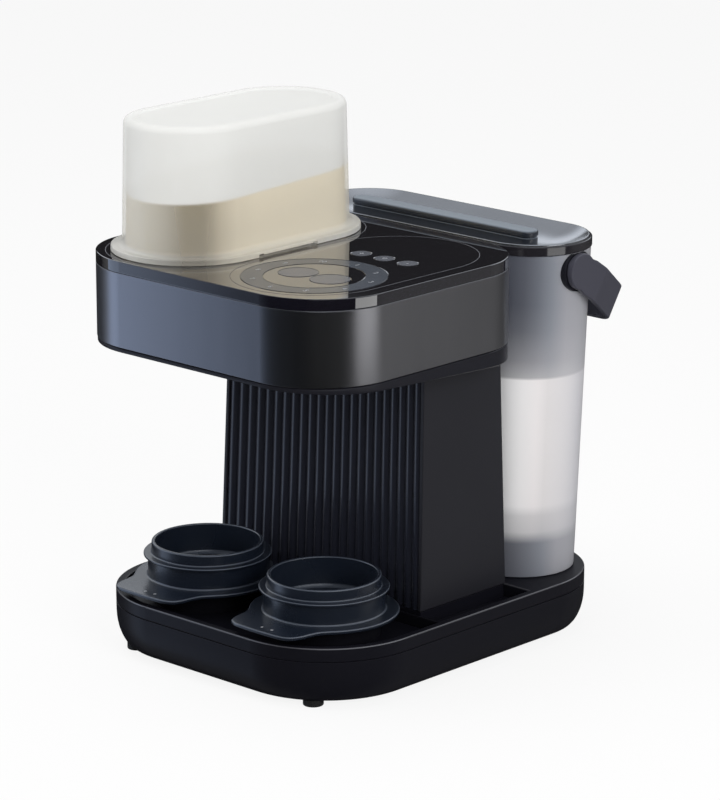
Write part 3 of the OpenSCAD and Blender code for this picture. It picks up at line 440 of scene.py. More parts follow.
FINISHES = {
    "metallic_grey": surface("metallic_grey", (0.25, 0.25, 0.265), 0.31, grain=(1600, 0.05),
                             mottle=(60, 0.06), stretch=(1, 1, 0.12), Metallic=1.0),
    "gloss_black": surface("gloss_black", (0.006, 0.006, 0.009), 0.20, grain=(300, 0.004),
                           mottle=(20, 0.10), rough_spread=0.03, Specular_IOR_Level=0.12),
    # satin_black: a painted highlight on its rounded upper edges
    "satin_black": painted_edge_highlights(surface("satin_black", (0.006, 0.006, 0.009), 0.36, grain=(900, 0.02)),
                             (0.05, 0.05, 0.058), glossy=True),
    "flute_black": surface("flute_black", (0.012, 0.013, 0.020), 0.24, grain=(900, 0.02),
                           Specular_IOR_Level=0.45),
    "panel_black": surface("panel_black", (0.004, 0.0035, 0.006), 0.03, grain=(200, 0.0005),
                           mottle=(20, 0.10), rough_spread=0.01, Specular_IOR_Level=0.6,
                           Coat_Weight=1.0, Coat_Roughness=0.02),
    "edge_black": surface("edge_black", (0.014, 0.013, 0.016), 0.10, grain=(300, 0.004),
                          mottle=(20, 0.10), rough_spread=0.02, Specular_IOR_Level=0.57),
    "satin_grey": surface("satin_grey", (0.016, 0.016, 0.020), 0.36, grain=(1400, 0.05),
                          Specular_IOR_Level=0.22),
    "dark_plastic": surface("dark_plastic", (0.010, 0.010, 0.014), 0.34, grain=(1200, 0.05),
                            Specular_IOR_Level=0.2),
    "tray_black": surface("tray_black", (0.005, 0.005, 0.007), 0.42, grain=(1200, 0.05),
                          Specular_IOR_Level=0.08),
    # stand_grey: a painted highlight on its rounded upper edges
    "stand_grey": painted_edge_highlights(surface("stand_grey", (0.007, 0.010, 0.017), 0.27, grain=(1300, 0.05),
                                    Specular_IOR_Level=0.6), (0.055, 0.065, 0.085)),
    "bail_grey": surface("bail_grey", (0.050, 0.050, 0.066), 0.36, grain=(1400, 0.05),
                         Specular_IOR_Level=0.3),
    "print_grey": surface("print_grey", (0.030, 0.036, 0.048), 0.09, grain=(800, 0.005),
                          Specular_IOR_Level=0.5),
    "key_grey": surface("key_grey", (0.060, 0.064, 0.080), 0.12, grain=(800, 0.005),
                        Specular_IOR_Level=0.5),
    "grip_grey": grip_looks(),
    "print_white": surface("print_white", (0.28, 0.29, 0.31), 0.3, grain=(800, 0.005)),
    "line_grey": surface("line_grey", (0.05, 0.05, 0.06), 0.25, Specular_IOR_Level=0.3),
    "lid_silver": surface("lid_silver", (0.30, 0.31, 0.33), 0.20, grain=(1500, 0.03),
                          mottle=(25, 0.05), Metallic=0.9),
    "frosted_clear": tank_plastic(),
    "milky_clear": container_plastic(),
    "inner_white": surface("inner_white", (0.72, 0.72, 0.69), 0.42, grain=(1200, 0.04)),
    "powder": powder_looks(),
    "water": surface("water", (0.74, 0.72, 0.72), 0.15, grain=(30, 0.02), mottle=(6, 0.04),
                     Alpha=0.8),
    "rubber": surface("rubber", (0.012, 0.012, 0.012), 0.7, grain=(1600, 0.2),
                      Specular_IOR_Level=0.3),
    "steel": surface("steel", (0.55, 0.55, 0.56), 0.28, grain=(1500, 0.05), Metallic=1.0),
    "circuit_board": surface("circuit_board", (0.02, 0.09, 0.045), 0.45, grain=(700, 0.2)),
}

# ---------- base ----------

BASE_LOW, BASE_HIGH = node_box("base_deck")
BASE_LOW.z, SEAM = node_box("base_tub")[0].z, node_box("base_tub")[1].z
base_ring = box_plan(BASE_LOW, BASE_HIGH, BASE_FRONT_RADIUS, BASE_BACK_RADIUS)


def tub_inset(z):
    """How far the tub draws in at a height: hardly at the seam, more and more below."""
    return TUB_DRAW * ((SEAM - z) / (SEAM - BASE_LOW.z)) ** TUB_CURVE


TUB_LEVELS, TUB_START, SEAM_GROOVE = 18, 1.0, 0.2
tub_rise = [between(BASE_LOW.z + TUB_START, SEAM - SEAM_GROOVE, k / TUB_LEVELS)
            for k in range(TUB_LEVELS + 1)]
tub_profile = rounded([(TUB_DRAW + 4, BASE_LOW.z), (TUB_DRAW + 0.4, BASE_LOW.z, 1.5),
                       (tub_inset(tub_rise[1]), tub_rise[1])])
tub_profile = tub_profile[:-1] + [(tub_inset(z), z) for z in tub_rise[1:]] + [(0.5, SEAM), (3, SEAM)]
dress(make("base_tub_shell", loft(base_ring, tub_profile)),
      FINISHES["satin_black"], "gloss_black", "machine", "base_tub")

# ---------- bottle stands ----------

def tab_outline():
    """Foot plate seen from above: a circle that swells into the pull tab with S-shaped sides."""
    side = [(32.3, -29.1), (29.4, -33.2), (27.9, -37.6), (27.0, -42.6), (TAB_HALF, -47.6),
            (23.6, -52.2), (18.6, -55.0), (10.0, 0.2 - TAB_REACH), (0.0, -TAB_REACH)]
    smooth = []
    for i in range(1, len(side) - 1):
        a, b, c, d = (Vector(side[j]) for j in (i - 1, i, i + 1, min(i + 2, len(side) - 1)))
        for k in range(5):
            t = k / 5
            smooth.append(((2 * b) + (c - a) * t + (2 * a - 5 * b + 4 * c - d) * t * t
                           + (3 * b - a - 3 * c + d) * t * t * t) / 2)
    start = math.degrees(math.atan2(side[0][1], side[0][0]))
    circle = [Vector((PLATE_RADIUS * math.cos(a), PLATE_RADIUS * math.sin(a)))
              for a in arc(start, 180 - start, 60)]
    left = [Vector((-p.x, p.y)) for p in smooth]
    return circle + left + [Vector((0, -TAB_REACH))] + smooth[::-1]


TAB_MARKS, MARK_Y, MARK_RADIUS = (-1.2, 6.6), -50.0, 0.9      # two dots on each pull tab


def bottle_stand(side, body, node):
    x = side * STATION_X
    outline = [(x + p.x, STATION_Y + p.y) for p in tab_outline()]
    plate = loft(outline_plan(outline), rounded([
        (6, PLATE_LOW), (0, PLATE_LOW, 0.7), (0, PLATE_TOP, 0.9), (4, PLATE_TOP)]))
    cup = loft(round_plan(x, STATION_Y), rounded([
        (3, CUP_FLOOR), (RING_BORE, CUP_FLOOR, 3), (RING_BORE, RING_TOP, 0.8),
        (RING_RADIUS, RING_TOP, 1.2), (RING_RADIUS, SHOULDER_TOP, 0.9),
        (SHOULDER_RADIUS, SHOULDER_TOP, 0.7), (SHOULDER_RADIUS, SHOULDER_LOW, 0.6),
        (DRUM_RADIUS, SHOULDER_LOW, 0.6), (DRUM_RADIUS, PLATE_TOP, 2.2),
        (DRUM_RADIUS + 2.6, PLATE_TOP - 0.05), (DRUM_RADIUS + 2.6, PLATE_TOP - 1), (3, PLATE_TOP - 1)]))
    dress(make(node + "_body", plate, cup), FINISHES["stand_grey"], "stand_grey", body, node)
    dot = [(0.5, PLATE_TOP - 0.1), (MARK_RADIUS, PLATE_TOP - 0.1),
           (MARK_RADIUS, PLATE_TOP + 0.08), (0.5, PLATE_TOP + 0.1)]
    marks = [loft(round_plan(x + step, STATION_Y + MARK_Y, 20), dot) for step in TAB_MARKS]
    dress(make(node + "_marks", *marks), FINISHES["print_white"], "print_grey", body)


bottle_stand(-1, "stand_left", "bottle_stand_left")
bottle_stand(1, "stand_right", "bottle_stand_right")

# ---------- column ----------

SPLASH_LOW, SPLASH_HIGH = node_box("splash_panel")
COLUMN_FOOT_Z, COLUMN_HEAD_Z = 24.6, 188.2
COLUMN_FRONT, COLUMN_HALF = (-31.5, -25.5), (82.0, 79.0)      # at the foot and under the head
SPLASH_MARGIN = 2.75                    # from the column's side to the splash panel's edge
FLUTE_POINTS, FLUTE_LEVELS = 14, 6
FLUTE_FULLNESS = 0.85                   # under 1, the flutes are fuller than half waves


def splash_panel():
    """Upright half-wave flutes on a hollow, leaning panel."""
    front, back = [], []
    for level in range(FLUTE_LEVELS + 1):
        z = between(SPLASH_LOW.z, SPLASH_HIGH.z, level / FLUTE_LEVELS)
        share = (z - COLUMN_FOOT_Z) / (COLUMN_HEAD_Z - COLUMN_FOOT_Z)
        face = between(*COLUMN_FRONT, share)
        half = between(*COLUMN_HALF, share) - SPLASH_MARGIN
        row = []
        for k in range(FLUTES * FLUTE_POINTS + 1):
            x = -half + 2 * half * k / (FLUTES * FLUTE_POINTS)
            wave = math.sin(math.pi * (k % FLUTE_POINTS) / FLUTE_POINTS)
            hollow = PANEL_HOLLOW * (1 - (x / half) ** 2)
            row.append(Vector((x, face + hollow + FLUTE_DEPTH * (1 - wave ** FLUTE_FULLNESS), z)))
        back_y = face + PANEL_HOLLOW + FLUTE_DEPTH + SPLASH_SHEET
        front.append(row)
        back.append([Vector((half, back_y, z)), Vector((-half, back_y, z))])
    return skin([f + b for f, b in zip(front, back)])


dress(make("splash_flutes", splash_panel(), sharp=50),
      FINISHES["flute_black"], "gloss_black", "machine", "splash_panel")

# ---------- head ----------

HEAD_LOW, HEAD_HIGH = node_box("head_band")
PANEL_TOP = node_box("top_panel")[1].z
head_ring = box_plan(HEAD_LOW, HEAD_HIGH, HEAD_FRONT_RADIUS, HEAD_BACK_RADIUS, steps=32)

band = rounded([(0, HEAD_LOW.z, 0.5), (0, HEAD_HIGH.z - 0.1, 0.4),
                (HEAD_WALL, HEAD_HIGH.z - 0.1, 0.2), (HEAD_WALL, HEAD_LOW.z, 0.2)], closed=True)
dress(make("head_band_shell", loft(head_ring, band, loop=True)),
      FINISHES["metallic_grey"], "metallic_grey", "machine", "head_band")

PRINT_LOW, PRINT_HIGH = PANEL_TOP - 0.1, PANEL_TOP + 0.06
LETTER_LIFT = 0.02                      # of the white print over the grey one


def flat_ring(name, ring, outer, inner, finish, *nodes):
    """A print of even thickness between two insets or radii of one plan."""
    profile = [(outer, PRINT_LOW), (outer, PRINT_HIGH), (inner, PRINT_HIGH), (inner, PRINT_LOW)]
    return dress(make(name, loft(ring, profile, loop=True)), FINISHES[finish],
                 "print_grey", "machine", *nodes)


dial = round_plan(DIAL_X, DIAL_Y)
flat_ring("dial_print", dial, DIAL_OUTER, DIAL_INNER, "print_grey", "dial_ring")

PRINTS = [(DIAL_X + side * PAD_OFFSET, DIAL_Y, PAD_RADIUS) for side in (-1, 1)]
PRINTS += [(DIAL_X + step * KEY_PITCH, KEY_Y, KEY_RADIUS) for step in (-1, 0, 1)]
pads = [loft(round_plan(x, y, 64), [(radius - 3, PRINT_LOW), (radius, PRINT_LOW),
                                    (radius, PRINT_HIGH), (radius - 3, PRINT_HIGH)])
        for x, y, radius in PRINTS]
dress(make("touch_pad_prints", *pads), FINISHES["key_grey"], "print_grey", "machine", "touch_pads")


def lettering(name, words):
    """Plain printed characters on the panel: (text, x, y, size)."""
    skins = []
    for text, x, y, size in words:
        curve = bpy.data.curves.new(name, "FONT")
        curve.body = text
        curve.size = size
        curve.extrude = LETTER_LIFT
        curve.align_x, curve.align_y = "CENTER", "CENTER"
        glyph = bpy.data.objects.new(name, curve)
        mesh = glyph.to_mesh()
        skins.append(([v.co + Vector((x, y, PRINT_HIGH + LETTER_LIFT)) for v in mesh.vertices],
                      [tuple(face.vertices) for face in mesh.polygons]))
        glyph.to_mesh_clear()
        bpy.data.objects.remove(glyph)
    return dress(make(name, *skins), FINISHES["print_white"], "print_grey", "machine")


NUMBERS, NUMBER_RADIUS, NUMBER_SIZE = 10, (DIAL_OUTER + DIAL_INNER) / 2, 5.0
turns = [math.tau * k / NUMBERS for k in range(NUMBERS)]
lettering("dial_numbers", [(str(k + 1), DIAL_X + NUMBER_RADIUS * math.sin(turn),
                            DIAL_Y + NUMBER_RADIUS * math.cos(turn), NUMBER_SIZE)
                           for k, turn in enumerate(turns)])

KEY_SIGNS = [("+", 0.0, 7.0), ("o", 0.8, 6.0), ("-", 0.0, 7.0)]      # sign, offset back, size
lettering("key_signs", [(sign, DIAL_X + (k - 1) * KEY_PITCH, KEY_Y + offset, size)
                        for k, (sign, offset, size) in enumerate(KEY_SIGNS)])

OUTLINE_RADIUS, OUTLINE_X, OUTLINE_Y, OUTLINE_STRAIGHT = 46.8, 48.0, -49.5, 71.0
OUTLINE_WIDTH, OUTLINE_GAP = 0.45, 3.2  # of the printed lines, and from the container's flange
obround = long_plan(lambda z: OUTLINE_RADIUS, OUTLINE_X, OUTLINE_Y, OUTLINE_STRAIGHT)
flat_ring("panel_outline", obround, 0, OUTLINE_WIDTH, "line_grey")
around = long_plan(lambda z: FLANGE_RADIUS + OUTLINE_GAP, CONTAINER_X, CONTAINER_Y, CONTAINER_STRAIGHT)
flat_ring("container_outline", around, 0, OUTLINE_WIDTH, "line_grey")

# ---------- powder container ----------

PANEL_GAP = 0.3
CONTAINER_LOW = PANEL_TOP + PANEL_GAP
CONTAINER_HIGH = node_box("powder_container")[1].z
SHOULDER = 8.0                          # the sides stop drawing in this far under the top


def container_radius(z):
    share = (z - CONTAINER_LOW) / (CONTAINER_HIGH - SHOULDER - CONTAINER_LOW)
    return between(CONTAINER_FOOT, CONTAINER_TOP, min(1, max(0, share)))


LATCH_FRONT, LATCH_BACK = LATCH_Y - LATCH_LENGTH / 2, LATCH_Y + LATCH_LENGTH / 2
NOTCH, SLOT_HEIGHT, NOTCH_HEIGHT = 3.0, 1.3, 2.3      # the slot is higher over a notch at each end
HAIR = 0.001                            # two points this close stand at each end of the slot
latch_stops = (LATCH_FRONT, LATCH_FRONT + HAIR, LATCH_FRONT + NOTCH, LATCH_FRONT + NOTCH + 1,
               LATCH_BACK - NOTCH - 1, LATCH_BACK - NOTCH, LATCH_BACK - HAIR, LATCH_BACK)
container_ring = long_plan(container_radius, CONTAINER_X, CONTAINER_Y, CONTAINER_STRAIGHT, latch_stops)


def in_latch(point):
    return (point.x > CONTAINER_X + CONTAINER_TOP
            and LATCH_FRONT + HAIR / 2 < point.y < LATCH_BACK - HAIR / 2)


def latch_row(inset, z, ceiling, cut):
    """A row of the flange, cut back along the latch slot or raised to the slot's ceiling."""
    row = container_ring(inset, z)
    for point in row:
        if in_latch(point):
            if ceiling:
                end = min(point.y - LATCH_FRONT, LATCH_BACK - point.y) <= NOTCH + HAIR / 2
                point.z = CONTAINER_LOW + (NOTCH_HEIGHT if end else SLOT_HEIGHT)
            if cut:
                point.x -= LATCH_DEPTH
    return row


flange = CONTAINER_FOOT - FLANGE_RADIUS
inside = rounded([(12, CONTAINER_HIGH - 2.3), (CONTAINER_WALL, CONTAINER_HIGH - 2.1, 4.5),
                  (CONTAINER_WALL, CONTAINER_LOW)])
outside = rounded([(flange, CONTAINER_LOW + 1.9), (flange, CONTAINER_LOW + FLANGE_HEIGHT, 1.3),
                   (0, CONTAINER_LOW + FLANGE_HEIGHT, 3.2), (0, CONTAINER_HIGH, 6.0),
                   (8.5, CONTAINER_HIGH, 1.5), (9.5, CONTAINER_HIGH - 0.35),
                   (13, CONTAINER_HIGH - 0.35)], steps=8)
rows = [container_ring(u, z) for u, z in inside]
rows += [latch_row(flange + 0.3, CONTAINER_LOW, False, True),
         latch_row(flange, CONTAINER_LOW + 0.3, False, True),
         latch_row(flange, CONTAINER_LOW + SLOT_HEIGHT, True, True),
         latch_row(flange, CONTAINER_LOW + SLOT_HEIGHT, True, False)]
rows += [container_ring(u, z) for u, z in outside]
dress(make("container_shell", skin(rows)), FINISHES["milky_clear"], "milky_clear", "container",
      "powder_container")

POWDER_FLOOR, ROTOR_CLEAR, POWDER_GAP = 246.0, 254.4, 0.3
RIPPLE_SCALE, RIPPLE_HEIGHT = 0.045, 0.5


def powder_height(point):
    """The powder's uneven top: it climbs a little towards the back."""
    ripple = noise.noise(Vector((point.x * RIPPLE_SCALE, point.y * RIPPLE_SCALE, 3.0)))
    return POWDER_LINE + POWDER_CLIMB * point.y + RIPPLE_HEIGHT * ripple


def powder_fill():
    """Powder that fills the container round the rotor, up to its uneven top."""
    wall = CONTAINER_WALL + POWDER_GAP
    rows = [container_ring(wall + 3 + 6 * k, ROTOR_CLEAR) for k in (4, 2, 0)]
    rows += [container_ring(wall + 0.6, ROTOR_CLEAR - 0.6), container_ring(wall + 0.6, POWDER_FLOOR)]
    rows += [container_ring(wall, POWDER_FLOOR), container_ring(wall, POWDER_LINE - 15)]
    for inset in (0, 0.4, 1.2, 3, 6, 10, 15, 20, 26, 31):
        row = container_ring(wall + inset, POWDER_LINE)
        for point in row:
            point.z = powder_height(point) - 0.5 * (inset == 0)
        rows.append(row)
    return skin(rows)


dress(make("powder", powder_fill(), sharp=60), FINISHES["powder"], "inner_white", "container")

# ---------- water tank ----------

NECK_Y = (TANK_FRONT[0] + TANK_BACK[0]) / 2
tank_rows = [disc_ring(0, NECK_Y, VALVE_BORE, TANK_FLOOR)]
tank_walls = rounded([(TANK_WALL + 4, TANK_FLOOR), (TANK_WALL, TANK_FLOOR, 2.5),
                      (TANK_WALL, TANK_Z[1], 0.4), (0, TANK_Z[1], 0.5), (0, TANK_Z[0], 0.6),
                      (TANK_WALL, TANK_Z[0], 0.4), (TANK_WALL, TANK_FLOOR - FLOOR_SHEET, 1.5),
                      (TANK_WALL + 4, TANK_FLOOR - FLOOR_SHEET)])
tank_rows += [tank_ring(u, z) for u, z in tank_walls]
tank_rows += [disc_ring(0, NECK_Y, radius, z) for radius, z in (
    (NECK_RADIUS, TANK_FLOOR - FLOOR_SHEET), (NECK_RADIUS, NECK_LOW), (VALVE_HOLE, NECK_LOW),
    (VALVE_HOLE, VALVE_SEAT), (VALVE_BORE, VALVE_SEAT))]
dress(make("tank_shell", skin(tank_rows, loop=True)), FINISHES["frosted_clear"], "frosted_clear",
      "tank", "water_tank")

WATER_INSET, WATER_FLOOR = TANK_WALL + 0.25, TANK_FLOOR + 0.3
water = rounded([(WATER_INSET + 6, WATER_FLOOR), (WATER_INSET, WATER_FLOOR, 2.4),
                 (WATER_INSET, WATER_LEVEL, 0.3), (WATER_INSET + 6, WATER_LEVEL)])
dress(make("water", loft(tank_ring, water)), FINISHES["water"], "frosted_clear", "tank")

# ---------- lid ----------

LID_EDGE = 1.4                          # of the gloss band round the lid
LID_LIP = 1.2                           # the silver lip stands this far above the gloss band
LID_SHEET_LOW, SKIRT_LOW, SKIRT_INSIDE, SKIRT_OUTSIDE = 231.3, 226.6, 5.9, 3.7
DISH_INSET, DISH_STEPS = 2.6, 22
DISH_RADIUS = (TANK_BACK[1] - TANK_FRONT[1]) / 2 + LID_OVERHANG - DISH_INSET


def lid_ring(inset, z):
    row = tank_ring(inset - LID_OVERHANG, TANK_Z[1])
    for point in row:
        point.z = z
    return row


edge = rounded([(0, LID_LOW, 0.4), (0, LID_TOP - LID_LIP, 0.6), (LID_EDGE, LID_TOP - LID_LIP, 0.1),
                (LID_EDGE, LID_LOW, 0.2)], closed=True)
dress(make("lid_edge_band", loft(lid_ring, edge, loop=True)), FINISHES["edge_black"],
      "gloss_black", "lid")

dish = [(DISH_INSET + DISH_RADIUS * k / DISH_STEPS,
         LID_TOP - DISH_DEPTH * (1 - (1 - k / DISH_STEPS) ** 3)) for k in range(DISH_STEPS - 1)]
lid_body = rounded([(20, LID_SHEET_LOW), (SKIRT_INSIDE, LID_SHEET_LOW, 0.5),
                    (SKIRT_INSIDE, SKIRT_LOW, 0.3), (SKIRT_OUTSIDE, SKIRT_LOW, 0.3),
                    (SKIRT_OUTSIDE, LID_LOW, 0.2), (LID_EDGE + 0.05, LID_LOW, 0.2),
                    (LID_EDGE + 0.05, LID_TOP, 1.2), (DISH_INSET - 0.05, LID_TOP - 0.01)], steps=8)
dress(make("lid_dish", loft(lid_ring, lid_body + dish), sharp=50), FINISHES["lid_silver"],
      "satin_grey", "lid", "tank_lid")

GRIP_LOW, GRIP_HIGH = node_box("lid_grip")
GRIP_FRONT_RADIUS, GRIP_BACK_RADIUS = 5.5, 6.0
GROOVE_Z, GROOVE_HALF, GROOVE_DEPTH = GRIP_HIGH.z - 3.95, 0.35, 0.9
grip_ring = box_plan(GRIP_LOW, GRIP_HIGH, GRIP_FRONT_RADIUS, GRIP_BACK_RADIUS, steps=12)
grip_profile = rounded([(5, GRIP_LOW.z), (0.3, GRIP_LOW.z, 0.3),
                        (0.3, GROOVE_Z - GROOVE_HALF - 0.3, 0.3),
                        (GROOVE_DEPTH, GROOVE_Z - GROOVE_HALF, 0.2),
                        (GROOVE_DEPTH, GROOVE_Z + GROOVE_HALF, 0.2),
                        (0, GROOVE_Z + GROOVE_HALF + 0.3, 0.3), (0, GRIP_HIGH.z, 1.6),
                        (4, GRIP_HIGH.z)])
dress(make("grip_bar", loft(grip_ring, grip_profile)), FINISHES["grip_grey"], "dark_plastic",
      "lid", "lid_grip")

# ---------- bail ----------

EYE_RADIUS, EYE_END, EYE_TIP = STRAP_WIDTH / 2, 4.7, 0.3
KNEE_CLEAR, KNEE_BEND = 1.5, 14.0       # over the lid's top, and the knee's radius
STRAP_EDGE = 1.1                        # the radius of the strap's own edges
KNEE = LID_TOP - PIVOT.z + KNEE_CLEAR
lean = math.radians(BAIL_LEAN)
ARM_RUN = (BAIL_REACH - BAIL_BEND - KNEE + BAIL_BEND * math.sin(lean)) / math.cos(lean)
BEND_X = BAIL_WIDTH / 2 - ARM_RUN * math.sin(lean) - BAIL_BEND * math.cos(lean)
BEND_Y = BAIL_REACH - BAIL_BEND


def bail_stations():
    """Along the strap, as if level: outer point, direction inwards, thickness and half width."""
    half = BAIL_WIDTH / 2
    stations = []
    for a in arc(178, 68, 14):
        stations.append((Vector((half, EYE_RADIUS * math.cos(a))), Vector((-1, 0)), STRAP_THICKNESS,
                         max(EYE_RADIUS * math.sin(a), EYE_TIP)))
    for k in range(1, 4):
        stations.append((Vector((half, between(EYE_END, KNEE - 2, k / 3))), Vector((-1, 0)),
                         STRAP_THICKNESS, STRAP_WIDTH / 2))
    for a in arc(2, BAIL_LEAN, 5):
        inwards = Vector((-math.cos(a), -math.sin(a)))
        outer = Vector((half - KNEE_BEND * (1 - math.cos(a)),
                        KNEE + KNEE_BEND * (math.sin(a) - math.tan(lean / 2))))
        stations.append((outer, inwards, STRAP_THICKNESS, STRAP_WIDTH / 2))
    for a in arc(BAIL_LEAN, 90, 12):
        share = (a - lean) / (math.pi / 2 - lean)
        inwards = Vector((-math.cos(a), -math.sin(a)))
        stations.append((Vector((BEND_X, BEND_Y)) - inwards * BAIL_BEND, inwards,
                         between(STRAP_THICKNESS, BRIDGE_THICKNESS, share ** 2), STRAP_WIDTH / 2))
    for k in range(1, 4):
        stations.append((Vector((BEND_X * (1 - k / 3), BAIL_REACH)), Vector((0, -1)),
                         BRIDGE_THICKNESS, STRAP_WIDTH / 2))
    mirrored = [(Vector((-p.x, p.y)), Vector((-d.x, d.y)), t, w) for p, d, t, w in stations[:-1]]
    return stations + mirrored[::-1]


def bail_section(point, inwards, thickness, half_width):
    """The strap's rounded section at one station, as points in the machine's frame."""
    edge = min(STRAP_EDGE, half_width * 0.45)
    outline = rounded([(0, -half_width, edge), (0, half_width, edge), (thickness, half_width, edge),
                       (thickness, -half_width, edge)], closed=True, steps=4)
    tilt = Matrix.Rotation(math.radians(-BAIL_ANGLE), 3, "X")
    return [tilt @ Vector((point.x + inwards.x * u, point.y + inwards.y * u, v)) + PIVOT
            for u, v in outline]


dress(make("bail_strap", skin([bail_section(*s) for s in bail_stations()])), FINISHES["bail_grey"],
      "dark_plastic", "bail", "bail_handle")

# ---------- nodes that keep their own shape ----------

KEPT = {
    "base_deck": ("satin_black", 0.9), "rubber_feet": ("rubber", 0.6), "base_screws": ("steel", 0.2),
    "mains_gland": ("rubber", 0.3), "drip_tray": ("tray_black", 0.5),
    "column_foot": ("gloss_black", 0.4), "column_cover": ("satin_grey", 0.6),
    "head_undercover": ("dark_plastic", 1.2),
    "top_panel": ("panel_black", 0.5), "touch_board": ("circuit_board", 0.2),
    "head_screws": ("steel", 0.2), "water_spout": ("dark_plastic", 0.4),
    "powder_chute": ("inner_white", 0.4), "gear_motor": ("dark_plastic", 0.4),
    "drive_dog": ("steel", 0.3), "container_base": ("inner_white", 0.3),
    "container_seal": ("rubber", 0.1), "dosing_rotor": ("inner_white", 0.4),
    "tank_dock": ("inner_white", 0.3), "dock_seal": ("rubber", 0.2), "lid_seal": ("rubber", 0.1),
    "bail_bosses": ("dark_plastic", 0.3), "tank_valve": ("inner_white", 0.2),
    "valve_spring": ("steel", 0), "valve_cage": ("inner_white", 0.2),
    "power_board": ("circuit_board", 0.2), "water_pump": ("dark_plastic", 0.4),
    "water_heater": ("steel", 0.4), "suction_hose": ("inner_white", 0),
    "transfer_hose": ("inner_white", 0), "delivery_hose": ("inner_white", 0),
}


def soften(thing, width):
    """Joins the node's facets, rounds its sharp edges and evens its normals."""
    weld = thing.modifiers.new("weld", "WELD")
    weld.merge_threshold = 1e-6
    flat = thing.modifiers.new("flat", "DECIMATE")
    flat.decimate_type = "DISSOLVE"
    flat.angle_limit = math.radians(0.4)
    if width:
        bevel = thing.modifiers.new("bevel", "BEVEL")
        bevel.width = width * MM
        bevel.segments = 3
        bevel.limit_method = "ANGLE"
        bevel.angle_limit = math.radians(32)
        bevel.use_clamp_overlap = False
    even_normals(thing)


for node, (finish, width) in KEPT.items():
    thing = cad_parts[node]
    thing.data.materials.clear()
    thing.data.materials.append(FINISHES[finish])
    soften(thing, width)

# ---------- camera, light and floor ----------

CAMERA_PLACE, CAMERA_TARGET = (1.511007, -1.609028, 0.749817), (0.03409, -0.03148, 0.15627)
CAMERA_LENS, CAMERA_SENSOR, CAMERA_REACH = 174.27, 36, 50

camera = bpy.data.objects.new("camera", bpy.data.cameras.new("camera"))
bpy.context.scene.collection.objects.link(camera)
camera.data.lens = CAMERA_LENS
camera.data.sensor_width = CAMERA_SENSOR
camera.data.clip_end = CAMERA_REACH
camera.location = CAMERA_PLACE
aim = Vector(CAMERA_TARGET) - camera.location
camera.rotation_euler = aim.to_track_quat("-Z", "Y").to_euler()
bpy.context.scene.camera = camera


def backdrop_material(name, shade):
    """White to the camera and through glass, with the object's shadow left in it.

    It is made white to gloss too, but the floor that uses it is hidden from gloss below.
    """
    made = bpy.data.materials.new(name)
    made.use_nodes = True
    nodes, links = made.node_tree.nodes, made.node_tree.links
    nodes.clear()
    out = nodes.new("ShaderNodeOutputMaterial")
    path = nodes.new("ShaderNodeLightPath")
    lit = nodes.new("ShaderNodeBsdfDiffuse")
    lit.inputs["Color"].default_value = (0.8, 0.8, 0.8, 1)
    glow = nodes.new("ShaderNodeEmission")
    glow.inputs["Color"].default_value = (1, 1, 1, 1)
    some = nodes.new("ShaderNodeMixShader")
    some.inputs["Fac"].default_value = shade
    links.new(glow.outputs[0], some.inputs[1])
    links.new(lit.outputs[0], some.inputs[2])
    seen = nodes.new("ShaderNodeMath")
    seen.operation = "MAXIMUM"
    links.new(path.outputs["Is Camera Ray"], seen.inputs[0])
    links.new(path.outputs["Is Glossy Ray"], seen.inputs[1])
    also = nodes.new("ShaderNodeMath")
    also.operation = "MAXIMUM"
    links.new(seen.outputs[0], also.inputs[0])
    links.new(path.outputs["Is Transmission Ray"], also.inputs[1])
    choose = nodes.new("ShaderNodeMixShader")
    links.new(also.outputs[0], choose.inputs["Fac"])
    links.new(lit.outputs[0], choose.inputs[1])
    links.new(some.outputs[0], choose.inputs[2])
    links.new(choose.outputs[0], out.inputs["Surface"])
    return made


def card(name, centre, across, up, strength, tint, stops):
    """A studio card that only reflections see; stops of (share across, brightness) shade it."""
    made = bpy.data.materials.new(name)
    made.use_nodes = True
    nodes, links = made.node_tree.nodes, made.node_tree.links
    nodes.clear()
    place = nodes.new("ShaderNodeTexCoord")
    split = nodes.new("ShaderNodeSeparateXYZ")
    links.new(place.outputs["UV"], split.inputs["Vector"])
    ramp = ramp_node(nodes, [(share, [bright * c for c in tint]) for share, bright in stops])
    links.new(split.outputs["X"], ramp.inputs["Fac"])
    glow = nodes.new("ShaderNodeEmission")
    glow.inputs["Strength"].default_value = strength
    links.new(ramp.outputs["Color"], glow.inputs["Color"])
    out = nodes.new("ShaderNodeOutputMaterial")
    links.new(glow.outputs[0], out.inputs["Surface"])
    centre, across, up = Vector(centre), Vector(across) / 2, Vector(up) / 2
    mesh = bpy.data.meshes.new(name)
    mesh.from_pydata([centre - across - up, centre + across - up, centre + across + up,
                      centre - across + up], [], [(0, 1, 2, 3)])
    mesh.uv_layers.new().data.foreach_set("uv", (0, 0, 1, 0, 1, 1, 0, 1))
    mesh.materials.append(made)
    thing = bpy.data.objects.new(name, mesh)
    bpy.context.scene.collection.objects.link(thing)
    for rays in ("camera", "diffuse", "transmission", "volume_scatter", "shadow"):
        setattr(thing, "visible_" + rays, False)


LAMP_TARGET = Vector((0, 0, 0.15))


def lamp(name, place, size, power):
    """A soft square white lamp that faces the machine."""
    light = bpy.data.lights.new(name, "AREA")
    light.shape = "SQUARE"
    light.size = size
    light.energy = power
    thing = bpy.data.objects.new(name, light)
    bpy.context.scene.collection.objects.link(thing)
    thing.location = place
    thing.rotation_euler = (LAMP_TARGET - Vector(place)).to_track_quat("-Z", "Y").to_euler()
    thing.visible_glossy = False        # gloss sees the cards and the world instead


